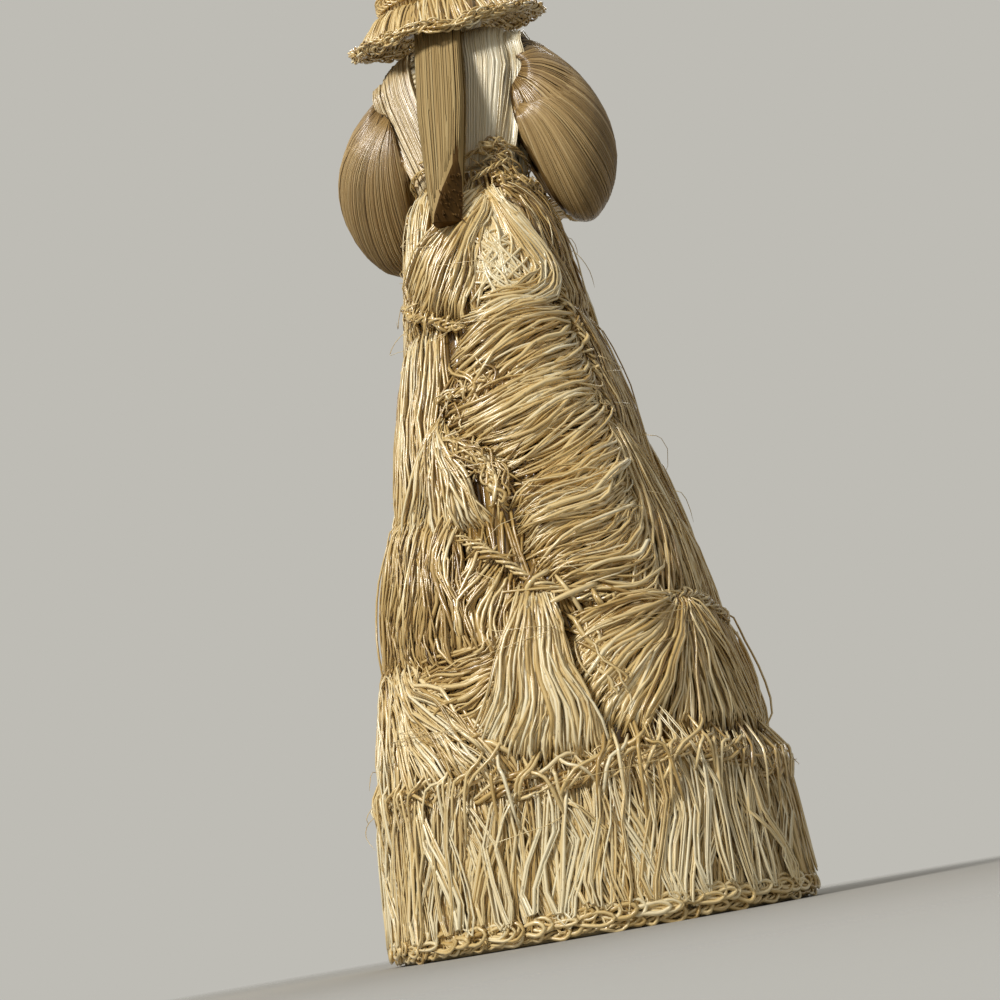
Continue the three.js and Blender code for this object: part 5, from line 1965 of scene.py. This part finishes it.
@dataclass
class Hat:
    """The tilted hat: crown, band, drooping brim and its rough edge."""

    shop: Workshop
    middle: Triple = (0.0, -1.5, 283.2)
    tilt: Pair = (-22.0, -6.0)
    crown_radius: float = 18.6
    crown_below: float = 2.0
    brim_inner: float = 18.0
    brim_flat: float = 21.4
    brim_radius: float = 28.4
    edge_radius: float = 29.8
    brim_top: float = -2.9
    droop: float = 3.0
    back_droop: float = 7.0
    band_height: float = 2.3
    band_size: Pair = (3.0, 0.9)
    tail_bearing: float = pi / 2
    edge_steps: int = 420
    crown_layers: tuple[Layer, ...] = (Layer(56, -0.6, 3.2, 0.7, 0.35), Layer(110, 0.1, 1.15, 0.7, 0.62))
    brim_layers: tuple[Layer, ...] = (
        Layer(130, 0.0, 2.6, 0.7, 0.25),
        Layer(150, 0.5, 1.15, 0.7, 0.48),
        Layer(110, 0.9, 0.8, 0.7, 0.62),
        Layer(220, -0.5, 0.85, 0.7, 0.62),
    )

    def world(self, points: Array) -> Array:
        """Returns points of the hat's own frame in the doll's frame."""
        back, side = (radians(angle) for angle in self.tilt)
        turn = np.array(Matrix.Rotation(back, 3, "X") @ Matrix.Rotation(side, 3, "Y"))
        return points @ turn.T + np.array(self.middle)

    def turned(self, ways: Array) -> Array:
        """Returns directions of the hat's own frame in the doll's frame."""
        return self.world(ways) - np.array(self.middle)

    def brim_at(self, bearing: Array, radius: Array, lift: float) -> Array:
        """Returns points of the brim in the hat's own frame.

        Args:
            bearing: Angles round the hat.
            radius: Distances from its middle.
            lift: Height over the middle of the brim.

        Returns:
            The points.
        """
        hang = self.droop + self.back_droop * ((1 + np.sin(bearing)) / 2) ** 2
        share = np.clip((radius - self.brim_flat) / (self.brim_radius - 0.4 - self.brim_flat), 0, 1.05)
        wave = (0.5 * np.sin(5 * bearing + 1) + 0.4 * np.sin(9 * bearing)) * share
        tail_room = 1.1 * np.exp(-(((bearing - self.tail_bearing) / 0.5) ** 2)) * share
        z = self.brim_top - hang * share**1.5 + wave + lift + tail_room
        return np.stack([radius * np.cos(bearing), radius * np.sin(bearing), z], -1)

    def build_crown(self) -> None:
        """Builds the crown from strands that run out from its top, with stitched rounds over them."""
        work = self.shop.work("hat_crown_strands", 80)
        low = -asin(self.crown_below / self.crown_radius)
        for layer in self.crown_layers:
            for turn in work.around(layer.count, 0.25):
                rise = np.linspace(pi / 2 - 0.03, low, 14)
                swirl = turn + 0.35 * np.cos(rise) ** 2
                way = on_sphere(rise, swirl)
                run = way * (self.crown_radius + layer.lift + 0.12 * work.stray())
                shade = work.shade(layer.tint, 0.13)
                work.lay(self.world(run), self.turned(way), layer.width, layer.depth, shade, (0.3, 1))
        for rise in (0.42, 0.8, 1.15, 1.42):
            way = on_sphere(rise, circle(200)[0])
            path = self.world(way * (self.crown_radius + 0.35))
            work.rope(path, self.turned(way), Twist(0.4, 5.0, 3, 0.8), 0.6, True)
        self.shop.dress(work.mesh(), Finish.SKIRT, "figure", "fibre", "hat_crown")

    def build_band(self) -> None:
        """Builds the braided band round the crown."""
        work = self.shop.work("hat_band_braid", 81)
        _, out = circle(360)
        path = out * (self.crown_radius + 1.3) + [0, 0, self.band_height]
        work.braid(self.world(path), self.turned(out), self.band_size, 7.0, 0.95, 0.5)
        self.shop.dress(work.mesh(), Finish.SKIRT, "figure", "gold_fibre", "hat_band")

    def build_brim(self) -> None:
        """Builds the brim: strands that run out to the edge above and below, with looped ends."""
        work = self.shop.work("hat_brim_strands", 82)
        draw = work.draw
        up = self.turned(np.array([0.0, 0.0, 1.0]))
        for layer in self.brim_layers:
            facing = -up if layer.lift < 0 else up
            depth = layer.depth * min(1, layer.width)
            for bearing in work.around(layer.count, 0.3):
                radius = np.linspace(self.brim_inner, self.brim_radius + 0.8 * draw.random(), 9)
                lean = bearing + 0.1 * work.stray() * (radius - self.brim_inner) / 13
                run = self.world(self.brim_at(lean, radius, layer.lift + 0.14 * work.stray()))
                work.lay(run, facing, layer.width, depth, work.shade(layer.tint, layer.spread), (1, 0.8))
        for radius in (23.5, 26.2):
            turn, _ = circle(260)
            path = self.world(self.brim_at(turn, np.full(260, radius), -0.8))
            work.rope(path, np.broadcast_to(-up, path.shape), Twist(0.35, 4.0, 2, 0.7), 0.62, True)
        self.shop.dress(work.mesh(), Finish.SKIRT, "figure", "fibre", "hat_brim")

    def build_edge(self) -> None:
        """Builds the rough crocheted edge: a rolled rope with small loops all over it."""
        work = self.shop.work("hat_edge_loops", 83)
        draw = work.draw
        turn, level = circle(self.edge_steps)
        path = self.world(self.brim_at(turn, np.full(self.edge_steps, self.edge_radius), 0.0))
        out = self.turned(level)
        work.rope(path, out, Twist(1.0, 9.0, 5, 1.05), 0.55, True)
        up = self.turned(np.array([0.0, 0.0, 1.0]))
        for _ in range(self.edge_steps):
            spot = int(draw.integers(0, self.edge_steps))
            span = int(draw.integers(3, 8))
            foot, far = path[spot], path[(spot + span) % self.edge_steps]
            around = tau * draw.random()
            over_tail = abs(turn[spot] - self.tail_bearing) < 0.6
            across = abs(cos(around)) if over_tail else cos(around)
            away = across * out[spot] + sin(around) * up
            rise = 1.3 + 1.5 * draw.random()
            middle = (foot + far) / 2 + away * rise
            side, half_up = unit(far - foot) * 0.5, away * 0.7 * rise
            stops = np.stack([foot, foot - side + half_up, middle, far + side + half_up, far])
            work.lay(smooth_run(stops[None], 10), away, 0.7, work.FLATNESS, work.shade(0.6, 0.16))
        self.shop.dress(work.mesh(), Finish.SKIRT, "figure", "fibre", "hat_edge_braid")

    def build(self) -> None:
        """Builds the hat."""
        self.build_crown()
        self.build_band()
        self.build_brim()
        self.build_edge()


# Studio


@dataclass(frozen=True)
class Lamp:
    """A soft area lamp.

    The bearing is counted in degrees from the camera's side towards the picture's right, and the rise from
    the floor. The reach from the doll's middle and the size are metres, and the power is watts.
    """

    name: str
    bearing: float
    rise: float
    reach: float
    size: float
    power: float
    tone: Triple


@dataclass
class Studio:
    """The floor, the lights, the backdrop colour and the camera."""

    yaw: float = 20.0
    distance: float = 376.7
    eye_height: float = 4.0
    pan: float = -1.20
    pitch: float = 16.91
    roll: float = -9.85
    focal_pixels: float = 1400.0
    picture: float = 1000.0
    paper: Shade = (190, 188, 181)
    ambient: float = 0.2
    floor_shade: Shade = (158, 156, 150)
    floor_fade: Pair = (0.07, 0.4)
    sensor: float = 36.0
    lamp_target: Triple = (0.0, 0.0, 0.14)
    lamps: tuple[Lamp, ...] = (
        Lamp("key_lamp", -42, 36, 1.1, 0.26, 12.0, (1.0, 0.97, 0.93)),
        Lamp("fill_lamp", 60, 25, 1.3, 0.9, 0.6, (0.95, 0.97, 1.0)),
        Lamp("back_lamp", 170, 50, 1.3, 0.7, 5.0, (1.0, 0.98, 0.95)),
    )

    def axes(self) -> tuple[Array, Array]:
        """Returns the level directions from the doll to the camera and to the picture's right."""
        turn = radians(self.yaw)
        return np.array([-sin(turn), cos(turn), 0]), np.array([-cos(turn), -sin(turn), 0])

    def place_camera(self) -> None:
        """Puts the camera where the photograph was taken."""
        to_eye, right = self.axes()
        pan, pitch, roll = (radians(a) for a in (self.pan, self.pitch, self.roll))
        upright = np.array([0.0, 0.0, 1.0])
        ahead = sin(pan) * cos(pitch) * right - cos(pan) * cos(pitch) * to_eye
        ahead = ahead + sin(pitch) * upright
        side = unit(np.cross(ahead, upright))
        top = np.cross(side, ahead)
        side, top = side * cos(roll) + top * sin(roll), top * cos(roll) - side * sin(roll)
        eye = to_eye * self.distance + upright * self.eye_height
        lens = bpy.data.cameras.new("photo_camera")
        lens.sensor_width = self.sensor
        lens.lens = self.sensor * self.focal_pixels / self.picture
        lens.clip_start = 0.01
        camera = bpy.data.objects.new("photo_camera", lens)
        bpy.context.scene.collection.objects.link(camera)
        columns = np.stack([side, top, -ahead], 1)
        camera.matrix_world = Matrix.Translation(eye * MM) @ Matrix(columns.tolist()).to_4x4()
        bpy.context.scene.camera = camera

    def hang(self, lamp: Lamp) -> None:
        """Hangs a lamp where it lights the doll's middle."""
        to_eye, right = self.axes()
        turn, lift = radians(lamp.bearing), radians(lamp.rise)
        way = cos(lift) * (cos(turn) * to_eye + sin(turn) * right)
        way = way + sin(lift) * np.array([0, 0, 1.0])
        light = bpy.data.lights.new(lamp.name, "AREA")
        light.shape = "DISK"
        light.size = lamp.size
        light.energy = lamp.power
        light.color = lamp.tone
        holder = bpy.data.objects.new(lamp.name, light)
        bpy.context.scene.collection.objects.link(holder)
        holder.location = Vector(way * lamp.reach) + Vector(self.lamp_target)
        holder.rotation_euler = (-Vector(way)).to_track_quat("-Z", "Y").to_euler()

    def build_world(self) -> None:
        """Sets the pale surroundings: one shade for the camera and a soft light for the doll."""
        bpy.context.scene.world = bpy.data.worlds.new("pale_room")
        bench = Bench(bpy.context.scene.world)
        kinds = "Camera", "Glossy", "Transmission"
        rays = [bench.node("ShaderNodeLightPath", {}, {}, f"Is {kind} Ray") for kind in kinds]
        seen = bench.node("ShaderNodeBackground", {}, {"Color": linear(self.paper), "Strength": 1.0})
        warm = {"Color": (1.0, 0.98, 0.95, 1.0), "Strength": self.ambient}
        soft = bench.node("ShaderNodeBackground", {}, warm)
        shown = bench.node("ShaderNodeMixShader", {}, {0: rays[0] + rays[1] + rays[2], 1: soft, 2: seen})
        bench.node("ShaderNodeOutputWorld", {}, {"Surface": shown})

    def build_floor(self) -> None:
        """Builds the plain pale floor."""
        deselect()
        bpy.ops.mesh.primitive_plane_add(size=6.0, location=(0, 0, -0.0002))
        floor = bpy.context.object
        floor.name = "floor"
        bench = Bench(bpy.data.materials.new("floor_paper"))
        places = bench.node("ShaderNodeTexCoord", {}, {}, 3)
        far = bench.node("ShaderNodeVectorMath", {"operation": "LENGTH"}, {0: places}, 1)
        near_far = {0: far, 1: self.floor_fade[0], 2: self.floor_fade[1], 3: 1.0, 4: 0.0}
        fade = bench.node("ShaderNodeMapRange", {"interpolation_type": "SMOOTHSTEP"}, near_far)
        paper = {"Base Color": linear(self.floor_shade), "Roughness": 0.9, "Alpha": fade}
        floor.data.materials.append(bench.surface(paper))
        floor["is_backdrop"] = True

    def build(self) -> None:
        """Builds the studio."""
        self.build_world()
        self.build_floor()
        for lamp in self.lamps:
            self.hang(lamp)
        self.place_camera()


def corners(box: Sequence[Any]) -> list[list[float]]:
    """Returns a box's two corners as plain lists."""
    return [[float(value) for value in corner] for corner in box]


def main() -> None:
    """Builds the doll in order and works out its bounds before and after."""
    logging.basicConfig(level=logging.INFO, format="%(name)s %(message)s")
    bpy.context.scene.view_settings.view_transform = "Standard"
    for thing in list(bpy.data.objects):
        bpy.data.objects.remove(thing)
    shop = Workshop(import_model())
    cad_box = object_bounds()
    Studio().build()
    Skirt(shop).build()
    Bodice(shop).build()
    Arm(shop, "left", 1, shift=(2.2, 0.0, 2.2), root=(20.5, 3.0, 251.0), begin=(252.0, 8.0)).build()
    Arm(shop, "right", -1, shift=(-1.2, 0.0, -2.6)).build()
    Head(shop).build()
    Tail(shop).build()
    Hat(shop).build()
    deselect()
    {"cad": corners(cad_box), "visual": corners(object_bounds())}


if __name__ == "__main__":
    main()
